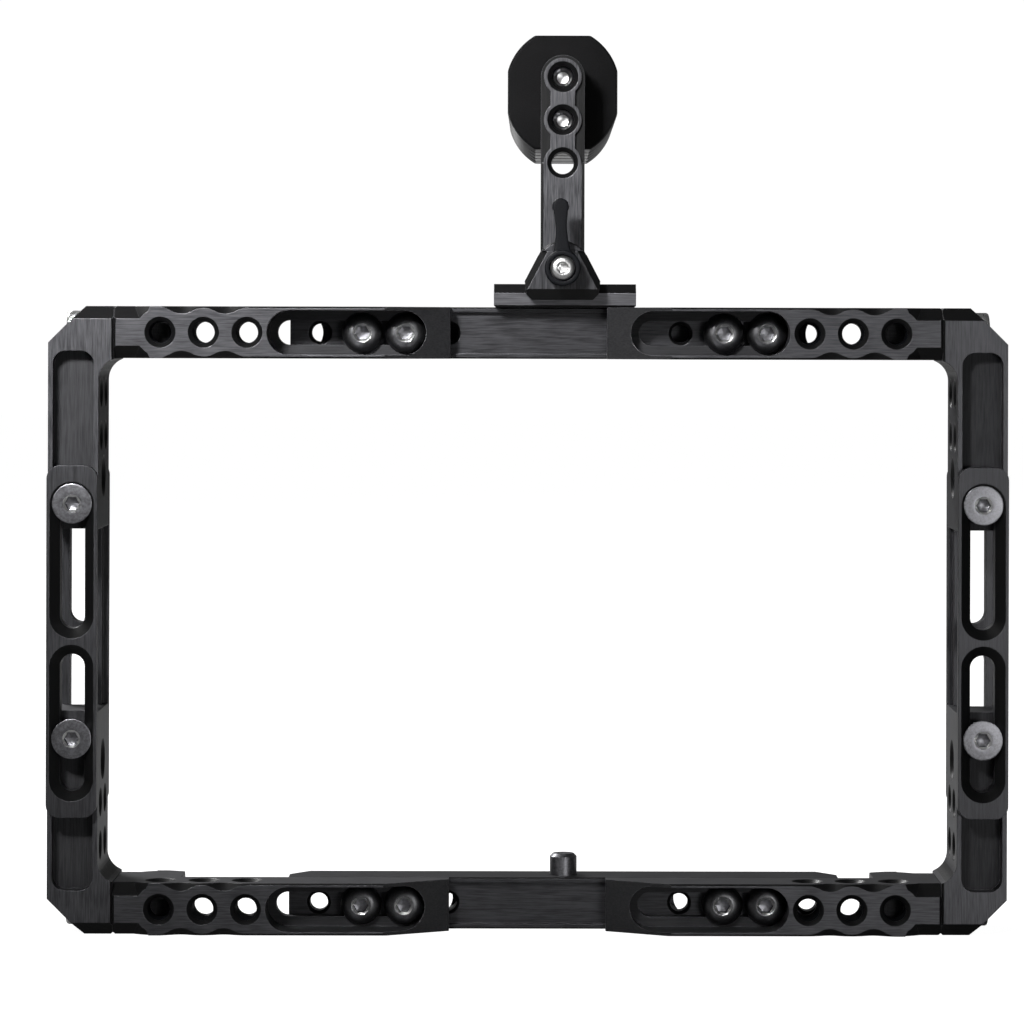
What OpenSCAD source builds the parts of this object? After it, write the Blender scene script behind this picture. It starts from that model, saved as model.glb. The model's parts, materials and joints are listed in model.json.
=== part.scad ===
// Modular camera cage: corner brackets, arms and slotted links clamp into a frame of
// adjustable width and height, with a lever-clamped handle on a dovetail rail.
// X runs to the right, Y away from the viewer and Z up. The origin is the root of the
// camera stud, in the middle of the bottom rail's top face.

/* [Cage] */
// Overall height of the cage at its present setting
cage_h = 144.8; // [141:0.1:152]
// Depth of the corner brackets, front to back
cage_d = 24; // [23:0.5:26]
// Side of the square section of the arms and rails
bar = 12; // [11.5:0.1:12.5]

/* [Corner brackets] */
// Width of the bracket from the outer side to the joint with the arm
corner_w = 15; // [14:0.5:18]
// Length of the leg, from the outer edge of the bracket
leg_l = 51.4; // [50:0.1:55]
// Width of the leg, seen from the front
leg_w = 11.6; // [11.2:0.1:12.2]
// Size of the bevel across the outer corner
corner_bevel = 8.4; // [6:0.1:9]
// Radius of the inner corner
inner_r = 5; // [4:0.5:6]
// Width of the leg's front and rear pockets
pocket_w = 9.4; // [9:0.1:9.6]
// Depth of the leg's front and rear pockets
pocket_depth = 4; // [3.6:0.1:4.1]
// Distance of the pocket's closed end from the outer edge
pocket_start = 10.3; // [9.5:0.1:10.6]
// Distance of the first pair of side holes from the outer edge
side_hole_start = 20; // [19:0.5:21]
// Distance of the large side hole from the leg's end
large_hole_end = 11.9; // [11.7:0.1:12.3]
// Distance of the link screw from the leg's end
link_screw_end = 6; // [5.5:0.1:6.1]

/* [Arms] */
// Length of the arm, from the corner bracket to the tip
arm_l = 77.3; // [76:0.1:82]
// Length of the arm's full-depth block
block_l = 15; // [13.5:0.5:15.5]
// Distance of the first accessory hole from the corner bracket
first_hole = 10.7; // [10:0.1:11]
// Pitch of the accessory holes
hole_pitch = 10; // [9.8:0.1:10.2]
// Radius of the round bosses at the accessory holes
boss_r = 5.57; // [5.3:0.01:5.7]
// Size of the bevel along the edges of arm and bracket
edge_bevel = 2.9; // [2.4:0.1:3.1]
// Length of the pocket for the button heads
arm_pocket_l = 36.6; // [34:0.1:37]
// Height of the pocket for the button heads
arm_pocket_h = 10.3; // [10:0.1:10.6]
// Depth of the pocket for the button heads
arm_pocket_depth = 10; // [9.5:0.1:10.2]
// Distance from the pocket's inner end to the arm's tip
tip_margin = 5.5; // [5:0.1:6.5]
// Length of the arm's tapered end
taper_l = 15; // [12:0.5:16]
// Depth of material that the taper removes at the tip
taper_depth = 8.4; // [6:0.1:9]

/* [Rails] */
// Length of the centre rails
rail_l = 128; // [126:1:134]
// Depth of the rail's front channel
channel_depth = 1.4; // [1:0.1:1.6]
// Lip above and below the rail's front channel
channel_lip = 1.15; // [1:0.05:1.4]
// Distance of the inner clamp screw from the rail's middle
clamp_screw_x = 37; // [36:0.5:38]
// Front wall of the rail where the rear pockets open
rail_wall = 6; // [5:0.5:7]

/* [Links] */
// Length of the slotted link
link_l = 80.8; // [80.6:0.1:84]
// Thickness of the link in front of the leg
link_t = 2.6; // [2.4:0.1:3]
// Length of each countersunk slot at the surface
link_slot_l = 36; // [34:0.1:36.4]
// Width of the countersunk slot at the surface
link_slot_w = 10.2; // [10:0.1:10.4]
// Web between the two slots
slot_web = 1.4; // [1.2:0.1:2]

/* [Dovetail rail] */
// Length of the dovetail rail
dovetail_l = 33; // [30:0.5:45]
// Widest depth of the dovetail rail, front to back
dovetail_w = 21.2; // [20.6:0.1:22]
// Height of the dovetail rail above the top rail
dovetail_h = 5.4; // [5.2:0.1:6]
// Height of the dovetail's sloping upper flank
dovetail_slope = 2.1; // [1.8:0.1:2.4]

/* [Handle] */
// Place of the handle along the dovetail rail
handle_x = -0.6; // [-6:0.1:6]
// Width of the post
post_w = 10.2; // [9.6:0.1:11]
// Depth of the post
post_d = 12; // [11:0.5:13]
// Height of the post's uppermost hole above the top rail
top_hole_h = 53.6; // [52:0.1:70]
// Height of the lever's axis above the top rail
lever_h = 9; // [8.8:0.1:10]
// Distance between the centres of the lever's hub and tip
lever_l = 14.1; // [12:0.1:16]
// Thickness of the clamp jaw
jaw_t = 6.4; // [6:0.1:7]

/* [Grip] */
// Length of the grip
grip_l = 88; // [80:1:110]
// Width of the grip across its side flats
grip_w = 25.8; // [25:0.1:28]
// Height of the grip across its top and bottom flats
grip_h = 26.8; // [26:0.1:28]
// Radius of the grip's round corners
grip_r = 14; // [13.5:0.1:15]

/* [Fasteners] */
// Tapping bore of the accessory holes
accessory_d = 5.2; // [5:0.1:5.3]
// Bore of the large side holes
large_hole_d = 8; // [7.6:0.1:8.4]
// Diameter of the button heads
button_d = 9.5; // [9.3:0.1:9.6]
// Height of the button heads
button_h = 2.75; // [2.5:0.05:3]
// Diameter of the countersunk heads
csk_d = 9.4; // [9:0.1:9.5]
// Diameter of the camera stud
stud_d = 6.3; // [6.1:0.05:6.35]
// Height of the camera stud above the rail
stud_h = 5; // [4.5:0.1:5.5]

/* [Hidden] */
$fn = 48;

LEFT = -1;
RIGHT = 1;
BOTTOM = -1;
TOP = 1;
ALUMINIUM = "#3a3a3d";
ALUMINIUM_DARK = "#232325";
STEEL = "#c8c8c6";
STEEL_BLACK = "#4a4a4c";
FOAM = "#1c1c1d";

fit = 0.05;          // clearance of a thread or a seated shank, on the radius
slide_fit = 0.1;     // clearance of a sliding fit, on each side
stop_fit = 0.15;     // gap left between a screw head and the end of its slot
cut = 1;             // how far a cutting shape reaches past the face that it cuts

// The frame's planes
front_y = bar / 2 - cage_d;
rail_front_y = -bar / 2;
bottom_z = -bar;
top_z = cage_h - bar;

// Clamp screws of the arms, and the arms' places that follow from them
head_reach = button_d / 2 + stop_fit;
arm_tip_left = -(clamp_screw_x - head_reach) + tip_margin;
arm_tip_right = clamp_screw_x + hole_pitch + head_reach - arm_pocket_l - tip_margin;
left_x = arm_tip_left - arm_l - corner_w;
right_x = arm_tip_right + arm_l + corner_w;
pocket_end = arm_l - tip_margin;
arm_slot_w = 5.7;
tongue_t = cage_d - bar;
ridge_t = channel_depth - slide_fit;
groove = 0.5;
valley_half = 4.27;  // half height of the arm's face between two bosses
neck_half = bar / 2 - edge_bevel;
flare_angle = 25;

// Places on the leg, from the outer edge of the bracket
large_hole_v = leg_l - large_hole_end;
link_screw_v = leg_l - link_screw_end;
link_bore_l = 10;    // depth of the link screws' tapped holes

// Screw sizes: the shank, and the bore that its thread is cut in
m5_shank = 5;
m5_bore = 4.2;
m6_shank = 6;
m6_bore = 5;
m6_head_d = 10;
m6_head_h = 6;
corner_bolt_seat = 9.4;
corner_bolt_l = 20;
button_screw_l = 12;
csk_screw_l = 12;
csk_sink = 0.3;
m3_shank = 3;
m3_hex = 2;
lever_screw_l = 6.5; // depth of the draw bolt's tapped end, and the reach of the screw in it
m4_shank = 4;
m4_bore = 3.3;
m4_bore_l = 7;
m4_head = 7.4;
m4_grip = 6;
camera_head_r = 4.3;
camera_head_h = 3.6;
camera_head_sink = 0.3;
camera_hex = 4;
camera_hex_depth = 2.1;
stud_bevel = 0.7;

// Small bevels and what is left behind blind holes
hole_bevel = 1;      // entry bevel of the accessory holes
side_bevel = 0.8;    // entry bevel of the holes in the legs
tapped_bevel = 0.7;  // entry bevel of the rails' tapped holes
tapped_floor = 1.5;  // wall left behind the rails' tapped holes
block_bevel = 1.2;   // bevel at the inboard end of the arm's block
rail_edge = 0.35;    // bevel along the rail's edges
rail_end_l = 4.8;    // bevel across the rear of the rail's ends, along the rail
rail_end_d = 6.4;    // the same bevel, front to back
rail_pocket_lip = 1.5;
rail_pocket_top = clamp_screw_x + 2 * hole_pitch - 0.2;
rail_pocket_bottom = clamp_screw_x - hole_pitch - 1;

// Links
link_travel = link_slot_l - link_slot_w;
slot_centre = (slot_web + link_slot_l) / 2;
link_z = top_z - link_screw_v - slot_centre - link_travel / 2 - fit;
link_tongue_w = pocket_w - 2 * slide_fit;
link_tongue_t = pocket_depth - 2 * slide_fit;
link_round = 3;
link_slot_narrow = 5.7;

// Dovetail section: half depths at the top, at the widest place and at the bottom
dovetail_half = dovetail_w / 2;
dovetail_top_half = dovetail_half - dovetail_slope;
dovetail_wide_z = dovetail_h - dovetail_slope;
undercut = 0.8;
dovetail_foot = 0.5;
dovetail_end = 0.4;
dovetail_screw_x = 12;

// Handle
post_front = -9;
post_rear = post_front + post_d;
lever_z = top_z + lever_h;
clamp_half = 8.75;
clamp_low_z = top_z + 1.7;
clamp_wide_z = top_z + 6;
clamp_high_z = top_z + 13;
jaw_back = post_front - slide_fit;
jaw_front = jaw_back - jaw_t;
jaw_arc_r = 6.3;
jaw_bevel = 2.5;
jaw_flank_bevel = 1.5;
pad_r = 4.35;        // round pads that stand round the post's holes
pad_half = 2.85;     // half width of the bar between the pads
pad_rise = 0.7;      // height of the pads above the post's cut-back edges
claw_rear = 15;
hub_r = 4.15;
hub_t = 4.8;
hub_front = jaw_front - fit - hub_t;
lever_tilt = -2;
tip_r = 1.97;
waist_half = 1.33;
waist_at = 9.2;
waist_arc_r = 20;
lever_arm_t = 2.8;
hub_recess = 1;
m3_head_d = 5.7;
m3_head_h = 1.65;
m3_bore = 2.5;
bolt_front = hub_front + hub_recess + 0.8;
bolt_rear = 4;
spring_room = 5;
spring_room_r = 3.7;
top_hole_z = top_z + top_hole_h;
grip_z = top_hole_z - 3;
core_r = 11;
core_flange = 12;
core_tube_r = 7;
core_bore_r = 5;
grip_screw_l = 22;

// ---------- general shapes ----------

// Draws a front view (x, z) through the depth from y to y + depth
module from_front(y, depth) {
    translate([0, y + depth, 0]) rotate([90, 0, 0]) linear_extrude(depth) children();
}

// Draws a side view (y, z) from x to x + width
module from_side(x, width) {
    translate([x, 0, 0]) rotate([90, 0, 90]) linear_extrude(width) children();
}

module rod_x(x, length, r) { translate([x, 0, 0]) rotate([0, 90, 0]) cylinder(h = length, r = r); }

module rod_y(y, length, r) { translate([0, y, 0]) rotate([-90, 0, 0]) cylinder(h = length, r = r); }

// A cone along Y, with radius r1 at y and r2 at the far end
module cone_y(y, length, r1, r2) { translate([0, y, 0]) rotate([-90, 0, 0]) cylinder(h = length, r1 = r1, r2 = r2); }

// A rectangle with round corners, centred
module round_rect(w, h, r) {
    square([w - 2 * r, h], center = true);
    square([w, h - 2 * r], center = true);
    for (x = [-1, 1], y = [-1, 1])
        translate([x * (w / 2 - r), y * (h / 2 - r)]) circle(r);
}

// A slot with round ends from x0 to x1
module slot(x0, x1, h) {
    translate([x0 + h / 2, -h / 2]) square([x1 - x0 - h, h]);
    for (x = [x0 + h / 2, x1 - h / 2]) translate([x, 0]) circle(h / 2);
}

// A triangle that cuts a bevel off a square corner at the origin. The body lies towards
// (a, b), each of them 1 or -1
module bevel_cut(size, a, b) {
    polygon([[-a * cut, -b * cut], [a * (size + cut), -b * cut], [-a * cut, b * (size + cut)]]);
}

// Places a child, drawn from the frame's outer corner inwards, at one of the four corners
module at_corner(side, level) {
    translate([side == LEFT ? left_x : right_x, front_y, level == TOP ? top_z : bottom_z])
        scale_side(side) scale_level(level) children();
}

module scale_side(side) {
    if (side == RIGHT) mirror([1, 0, 0]) children();
    else children();
}

module scale_level(level) {
    if (level == TOP) mirror([0, 0, 1]) children();
    else children();
}

// A tapped accessory hole along Y, with its entry bevel at y = 0
module accessory_hole_y(depth) {
    rod_y(-cut, depth + cut, accessory_d / 2);
    cone_y(-fit, hole_bevel + fit, accessory_d / 2 + hole_bevel + fit, accessory_d / 2);
}

// ---------- screws ----------

// A dished hexagonal socket, cut into a head along +Y from y = 0
module socket_y(across, depth) {
    translate([0, -cut, 0]) rotate([-90, 0, 0]) cylinder(h = depth + cut, d = across / cos(30), $fn = 6);
}

// A button head screw along +Y, with the seat of its head at y = 0
module button_screw(head_d, head_h, shank, core, length, shank_l, across) {
    difference() {
        union() {
            intersection() {
                rod_y(-head_h, head_h, head_d / 2);
                button_dome(head_d, head_h);
            }
            rod_y(0, shank_l, shank / 2);
            rod_y(0, length, core / 2);
        }
        translate([0, -head_h, 0]) socket_y(across, head_h * 0.6);
    }
}

// The round of a button head: a ball through the rim and the flat top
module button_dome(head_d, head_h) {
    rim = head_d / 2;
    flat_r = head_d * 0.27;
    rise = head_h * 0.92;
    // Centre of the arc through (rim, 0) and (flat_r, rise), measured from the rim's level
    drop = (rim * rim - flat_r * flat_r - rise * rise) / (2 * rise);
    translate([0, drop - head_h * 0.08, 0]) sphere(r = sqrt(rim * rim + drop * drop), $fn = 96);
}

// A countersunk screw along +Y, with the top of its head at y = 0
module countersunk_screw(head_d, shank, core, length, shank_l, across) {
    cone_h = (head_d - shank) / 2;
    difference() {
        union() {
            cone_y(0, cone_h, head_d / 2, shank / 2);
            rod_y(cone_h, shank_l - cone_h, shank / 2);
            rod_y(shank_l, length - shank_l, core / 2);
        }
        socket_y(across, 1.6);
    }
}

// ---------- corner brackets ----------

// Front outline, from the outer corner inwards: a bevel outside and a round inside
module corner_outline() {
    difference() {
        polygon([
            [corner_bevel, 0], [corner_w, 0], [corner_w, bar + inner_r], [leg_w, bar + inner_r],
            [leg_w, leg_l], [0, leg_l], [0, corner_bevel]
        ]);
        translate([leg_w + inner_r, bar + inner_r]) circle(inner_r);
    }
}

// Side outline: bevels along the outer edge, front and back
module corner_side() {
    polygon([
        [edge_bevel, 0], [cage_d - edge_bevel, 0], [cage_d, edge_bevel],
        [cage_d, leg_l], [0, leg_l], [0, edge_bevel]
    ]);
}

// One pocket of the leg, open at the leg's end
module leg_pocket(y) {
    length = leg_l - pocket_start + link_round + cut;
    from_front(y, pocket_depth + cut)
        translate([leg_w / 2, pocket_start + length / 2]) round_rect(pocket_w, length, link_round);
}

// A hole through the leg from side to side, with entry bevels
module side_hole(y, v, d) {
    mouth = d / 2 + side_bevel + fit;
    translate([0, y, v]) {
        rod_x(-cut, leg_w + 2 * cut, d / 2);
        translate([-fit, 0, 0]) rotate([0, 90, 0]) cylinder(h = side_bevel + fit, r1 = mouth, r2 = d / 2);
        translate([leg_w - side_bevel, 0, 0]) rotate([0, 90, 0])
            cylinder(h = side_bevel + fit, r1 = d / 2, r2 = mouth);
    }
}

// One half of the V groove where bracket and arm meet, at x = 0. The body lies towards dx
module joint_groove(dx) {
    for (face = [[0, 1], [cage_d, -1]]) translate([0, face[0], -cut])
        linear_extrude(bar + 2 * cut) bevel_cut(groove, dx, face[1]);
    from_front(-cut, cage_d + 2 * cut) bevel_cut(groove, dx, 1);
}

module corner_bracket() {
    color(ALUMINIUM) difference() {
        intersection() {
            from_front(0, cage_d) corner_outline();
            from_side(0, corner_w) corner_side();
        }
        leg_pocket(-cut);
        leg_pocket(cage_d - pocket_depth);
        // Bolt that holds the arm: seat, shank and the recess that the outer bevel opens
        translate([0, cage_d / 2, bar / 2]) {
            rod_x(-cut, corner_bolt_seat + cut, m6_head_d / 2 + 0.4);
            rod_x(0, corner_w + cut, m6_shank / 2 + 0.2);
        }
        for (row = [0, 1], y = [-hole_pitch / 2, hole_pitch / 2])
            side_hole(cage_d / 2 + y, side_hole_start + row * hole_pitch, accessory_d);
        side_hole(cage_d / 2, large_hole_v, large_hole_d);
        // Tapped holes of the link screws, front and back
        translate([leg_w / 2, 0, link_screw_v]) {
            rod_y(0, link_bore_l, m5_bore / 2);
            rod_y(cage_d - link_bore_l, link_bore_l, m5_bore / 2);
        }
        translate([corner_w, 0, 0]) joint_groove(-1);
    }
}

// The socket cap bolt of a corner, head outwards
module corner_bolt() {
    color(STEEL) translate([0, cage_d / 2, bar / 2]) difference() {
        union() {
            rod_x(corner_bolt_seat - m6_head_h, m6_head_h, m6_head_d / 2);
            rod_x(corner_bolt_seat, corner_w - corner_bolt_seat, m6_shank / 2);
            rod_x(corner_w, corner_bolt_l - corner_w + corner_bolt_seat, m6_bore / 2 - fit);
        }
        translate([corner_bolt_seat - m6_head_h - cut, 0, 0]) rotate([0, 90, 0])
            cylinder(h = 3 + cut, d = 5 / cos(30), $fn = 6);
    }
}

// ---------- arms ----------

// The wedge along one long edge that the bevel cutter takes away, and leaves round the
// bosses: at depth y the face has grown by y all round, so each boss keeps a cone, each
// valley between bosses keeps the reverse of one, and the neck keeps a sloping flare
module edge_cut(length, bosses) {
    valley_tangent = bar / 2 - (bar / 2 - valley_half) / 2;
    valley_r = (hole_pitch * hole_pitch / 4 - boss_r * boss_r + valley_half * valley_half)
        / (2 * (boss_r - valley_half));
    tangent_z = boss_r * (valley_half + valley_r) / (boss_r + valley_r);
    difference() {
        from_side(-cut, length + cut) polygon([[-cut, -cut], [edge_bevel + cut, -cut], [-cut, edge_bevel + cut]]);
        for (i = [0 : bosses - 1]) translate([first_hole + i * hole_pitch, 0, bar / 2])
            cone_y(-2 * cut, edge_bevel + 4 * cut, boss_r - 2 * cut, boss_r + edge_bevel + 2 * cut);
        // Flare between the neck and the first boss
        translate([first_hole, 0, bar / 2]) rotate([0, -flare_angle, 0])
            from_side(-neck_flare(), neck_flare())
                polygon([[-2 * cut, -boss_r + 2 * cut], [-2 * cut, 0], [bar / 2, 0], [bar / 2, -boss_r - bar / 2]]);
        // Valleys between the bosses
        if (bosses > 1) for (i = [0 : bosses - 2]) translate([first_hole + i * hole_pitch, 0, bar / 2])
            difference() {
                from_side(0, hole_pitch)
                    polygon([[-2 * cut, -tangent_z + 2 * cut], [-2 * cut, 0], [bar / 2, 0], [bar / 2, -tangent_z - bar / 2]]);
                translate([hole_pitch / 2, 0, -valley_half - valley_r])
                    cone_y(-3 * cut, valley_r + 3 * cut, valley_r + 3 * cut, 0);
            }
    }
}

// Length of the flare: the tangent from the neck's corner to the boss
function neck_flare() = (boss_r * cos(flare_angle) - neck_half) / sin(flare_angle);

module arm_body() {
    difference() {
        union() {
            cube([block_l, cage_d, bar]);
            cube([arm_l, tongue_t, bar]);
            // Ridge that runs in the rail's channel
            translate([pocket_end - arm_pocket_l, 0, channel_lip + slide_fit])
                cube([arm_pocket_l + tip_margin - groove, tongue_t + ridge_t, bar - 2 * (channel_lip + slide_fit)]);
        }
        // Bevels along the edges: full and scalloped by the bosses, then small
        for (upper = [0, 1]) translate([0, 0, upper * bar]) mirror([0, 0, upper]) {
            edge_cut(first_hole + 2 * hole_pitch, 3);
            translate([0, cage_d, 0]) mirror([0, 1, 0]) edge_cut(block_l + cut, 1);
            from_side(first_hole + 2 * hole_pitch, arm_l) bevel_cut(bar / 2 - boss_r, 1, 1);
        }
        // Taper of the inner end
        linear_extrude(3 * bar, center = true)
            polygon([[arm_l - taper_l, 0], [arm_l + cut, taper_depth * (1 + cut / taper_l)],
                     [arm_l + cut, -cut], [arm_l - taper_l, -cut]]);
        // Bevel at the inboard end of the block
        linear_extrude(3 * bar, center = true)
            translate([block_l, cage_d]) bevel_cut(block_bevel, -1, -1);
        joint_groove(1);
    }
}

module arm() {
    color(ALUMINIUM) difference() {
        arm_body();
        // Pocket of the button heads, and the slot of their shanks
        translate([0, 0, bar / 2]) {
            from_front(-cut, arm_pocket_depth + cut) slot(pocket_end - arm_pocket_l, pocket_end, arm_pocket_h);
            from_front(0, cage_d) slot(pocket_end - arm_pocket_l + head_reach - arm_slot_w / 2 - slide_fit,
                                       pocket_end - head_reach + arm_slot_w / 2 + slide_fit, arm_slot_w);
        }
        // Accessory holes through the front, and from edge to edge
        for (i = [0 : 2]) translate([first_hole + i * hole_pitch, 0, 0]) {
            translate([0, 0, bar / 2]) accessory_hole_y(i == 0 ? cage_d / 2 - m6_shank / 2 - tapped_bevel : cage_d);
            translate([0, tongue_t / 2, 0]) accessory_hole_z();
        }
        // Tapped hole of the corner bolt
        translate([0, cage_d / 2, bar / 2]) rod_x(-cut, corner_bolt_l + corner_bolt_seat - corner_w + 2 * cut, m6_bore / 2);
    }
}

module accessory_hole_z() {
    translate([0, 0, -cut]) cylinder(h = bar + 2 * cut, r = accessory_d / 2);
    for (upper = [0, 1]) translate([0, 0, upper * bar]) mirror([0, 0, upper])
        translate([0, 0, -fit])
            cylinder(h = hole_bevel + fit, r1 = accessory_d / 2 + hole_bevel + fit, r2 = accessory_d / 2);
}

// The pair of button head screws that clamps one arm to its rail
module arm_screws(side, level) {
    seat_y = front_y + arm_pocket_depth;
    color(STEEL_BLACK)
        for (i = [0, 1])
            translate([side * (clamp_screw_x + i * hole_pitch), seat_y, bar_axis(level)])
                button_screw(button_d, button_h, m5_shank, m5_bore - 2 * fit, button_screw_l,
                             rail_front_y + channel_depth - seat_y, 3);
}

function bar_axis(level) = level == TOP ? top_z - bar / 2 : bottom_z + bar / 2;

// ---------- rails ----------

// A centre rail, its section centred on the X axis. The rear pockets start at pocket_x
module rail_body(pocket_x) {
    half = rail_l / 2;
    difference() {
        translate([-half, -bar / 2, -bar / 2]) cube([rail_l, bar, bar]);
        // Front channel
        translate([-half - cut, -bar / 2 - cut, -bar / 2 + channel_lip])
            cube([rail_l + 2 * cut, channel_depth + cut, bar - 2 * channel_lip]);
        for (y = [-1, 1], z = [-1, 1]) from_side(-half - cut, rail_l + 2 * cut)
            translate([y * bar / 2, z * bar / 2]) bevel_cut(rail_edge, -y, -z);
        for (side = [LEFT, RIGHT]) scale_side(-side) {
            // Rear pocket, open at the end of the rail
            from_front(-bar / 2 + rail_wall, bar) slot(pocket_x, half + bar, bar - 2 * rail_pocket_lip);
            // Bevel across the rear of the end
            linear_extrude(2 * bar, center = true)
                polygon([[half - rail_end_l - cut, bar / 2 + cut * rail_end_d / rail_end_l],
                         [half + cut, bar / 2 - rail_end_d * (1 + cut / rail_end_l)], [half + cut, bar / 2 + 2 * cut]]);
            // Tapped holes, from the channel's floor
            for (i = [-1 : 2]) translate([clamp_screw_x + i * hole_pitch, -bar / 2 + channel_depth, 0]) {
                rod_y(-cut, bar - channel_depth - tapped_floor + cut, m5_bore / 2);
                cone_y(-fit, tapped_bevel + fit, m5_bore / 2 + tapped_bevel + fit, m5_bore / 2);
            }
        }
    }
}

module rail_top() {
    color(ALUMINIUM) difference() {
        translate([0, 0, bar_axis(TOP)]) rail_body(rail_pocket_top);
        for (x = [-1, 1]) translate([x * dovetail_screw_x, 0, top_z - m4_bore_l]) cylinder(h = m4_bore_l + cut, r = m4_bore / 2);
    }
}

module rail_bottom() {
    color(ALUMINIUM) difference() {
        translate([0, 0, bar_axis(BOTTOM)]) rail_body(rail_pocket_bottom);
        translate([0, 0, bottom_z - cut]) {
            cylinder(h = bar + 2 * cut, r = stud_d / 2 + slide_fit);
            cylinder(h = camera_head_sink + camera_head_h + cut, r = camera_head_r + slide_fit);
        }
    }
}

// The captive camera screw: head in the rail's underside, relieved shank, and the stud
module camera_screw() {
    color(STEEL) difference() {
        union() {
            translate([0, 0, bottom_z + camera_head_sink]) {
                cylinder(h = camera_head_h, r = camera_head_r);
                cylinder(h = bar - camera_head_sink, r = stud_d / 2 - stud_bevel);
            }
            cylinder(h = stud_h - stud_bevel, r = stud_d / 2);
            translate([0, 0, stud_h - stud_bevel])
                cylinder(h = stud_bevel, r1 = stud_d / 2, r2 = stud_d / 2 - stud_bevel);
        }
        translate([0, 0, bottom_z + camera_head_sink - cut])
            cylinder(h = camera_hex_depth + cut, d = camera_hex / cos(30), $fn = 6);
    }
}

// ---------- links ----------

// A countersunk slot, centred, cut from the surface at y = -link_t down
module link_slot() {
    wide = link_slot_w / 2;
    narrow = link_slot_narrow / 2;
    sink = wide - narrow;
    half = link_travel / 2;
    translate([0, -link_t, 0]) {
        for (z = [-half, half]) translate([0, 0, z]) {
            cone_y(-cut, sink + cut, wide + cut, narrow);
            rod_y(0, 3 * link_t, narrow);
        }
        linear_extrude(2 * half, center = true)
            polygon([[-wide - cut, -cut], [-narrow, sink], [-narrow, 3 * link_t], [narrow, 3 * link_t],
                     [narrow, sink], [wide + cut, -cut]]);
    }
}

// A link of T section: its flange lies on the legs, its tongue fills their pockets
module link() {
    color(ALUMINIUM) difference() {
        union() {
            from_front(-link_t, link_t) round_rect(leg_w, link_l, link_round);
            from_front(-fit, link_tongue_t + fit) round_rect(link_tongue_w, link_l - 2.4, link_round);
        }
        for (z = [-slot_centre, slot_centre]) translate([0, 0, z]) link_slot();
    }
}

// Places a link, drawn in front of the plane y = 0, on the front or the rear of the legs
module at_leg(side, rear) {
    x = side == LEFT ? left_x + leg_w / 2 : right_x - leg_w / 2;
    translate([x, rear ? front_y + cage_d : front_y, 0]) mirror([0, rear ? 1 : 0, 0]) children();
}

// The pair of countersunk screws, front and rear, that holds one leg to its links
module link_screws(side, level) {
    z = level == TOP ? top_z - link_screw_v : bottom_z + link_screw_v;
    color(STEEL)
        for (rear = [false, true]) at_leg(side, rear)
            translate([0, -link_t + csk_sink, z])
                countersunk_screw(csk_d, m5_shank, m5_bore - 2 * fit, csk_screw_l, link_t - csk_sink + pocket_depth, 3);
}

// ---------- dovetail rail ----------

// The dovetail's section (y, z) above the top rail, grown by g on every flank
module dovetail_section(g) {
    y_top = dovetail_top_half + g * 0.42;
    y_wide = dovetail_half + g * 1.2;
    y_low = dovetail_half - undercut + g;
    z_top = dovetail_h + g;
    polygon([
        [-y_top, z_top], [y_top, z_top], [y_wide, dovetail_wide_z], [y_low, dovetail_foot],
        [y_low - dovetail_foot, 0], [-y_low + dovetail_foot, 0], [-y_low, dovetail_foot], [-y_wide, dovetail_wide_z]
    ]);
}

module dovetail_rail() {
    half = dovetail_l / 2;
    color(ALUMINIUM) translate([0, 0, top_z]) difference() {
        from_side(-half, dovetail_l) dovetail_section(0);
        // The ends' lower edges are bevelled as the flanks are
        for (end = [-1, 1]) from_front(-bar, 2 * bar) translate([end * half, 0]) bevel_cut(dovetail_end, -end, 1);
        for (x = [-1, 1]) translate([x * dovetail_screw_x, 0, 0]) {
            translate([0, 0, -cut]) cylinder(h = bar, r = m4_shank / 2 + slide_fit);
            translate([0, 0, dovetail_h - dovetail_screw_sink()])
                cylinder(h = dovetail_screw_sink() + fit, r1 = m4_shank / 2 + slide_fit, r2 = m4_head / 2 + slide_fit + fit);
        }
    }
}

function dovetail_screw_sink() = (m4_head - m4_shank) / 2;

module dovetail_screws() {
    color(STEEL_BLACK) for (x = [-1, 1]) translate([x * dovetail_screw_x, 0, top_z]) difference() {
        union() {
            translate([0, 0, dovetail_h - dovetail_screw_sink() - fit])
                cylinder(h = dovetail_screw_sink(), r1 = m4_shank / 2, r2 = m4_head / 2);
            cylinder(h = dovetail_h - dovetail_screw_sink(), r = m4_shank / 2);
            translate([0, 0, -m4_grip]) cylinder(h = m4_grip, r = m4_bore / 2 - fit);
        }
        translate([0, 0, dovetail_h - 1.4]) cylinder(h = 2, d = 2.5 / cos(30), $fn = 6);
    }
}

// ---------- handle ----------

// Front outline of the clamp: flared flanks down to a bevelled foot
module clamp_outline() {
    polygon([
        [-post_w / 2, clamp_high_z], [post_w / 2, clamp_high_z], [clamp_half, clamp_wide_z],
        [clamp_half - 0.4, clamp_low_z + 1.3], [clamp_half - 1.7, clamp_low_z],
        [-clamp_half + 1.7, clamp_low_z], [-clamp_half + 0.4, clamp_low_z + 1.3], [-clamp_half, clamp_wide_z]
    ]);
}

// The cutter's bevel along the post's front edges, which leaves a boss round each hole
module post_edge_cut() {
    low = top_hole_z - 2 * hole_pitch;
    difference() {
        translate([-post_w, post_front - cut, low]) cube([2 * post_w, pad_rise + cut, 2 * hole_pitch + post_w]);
        for (i = [0 : 2]) translate([0, post_front, top_hole_z - i * hole_pitch]) rod_y(-2 * cut, 4 * cut, pad_r);
        translate([-pad_half, post_front - 2 * cut, low]) cube([2 * pad_half, 4 * cut, 2 * hole_pitch]);
    }
}

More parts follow.
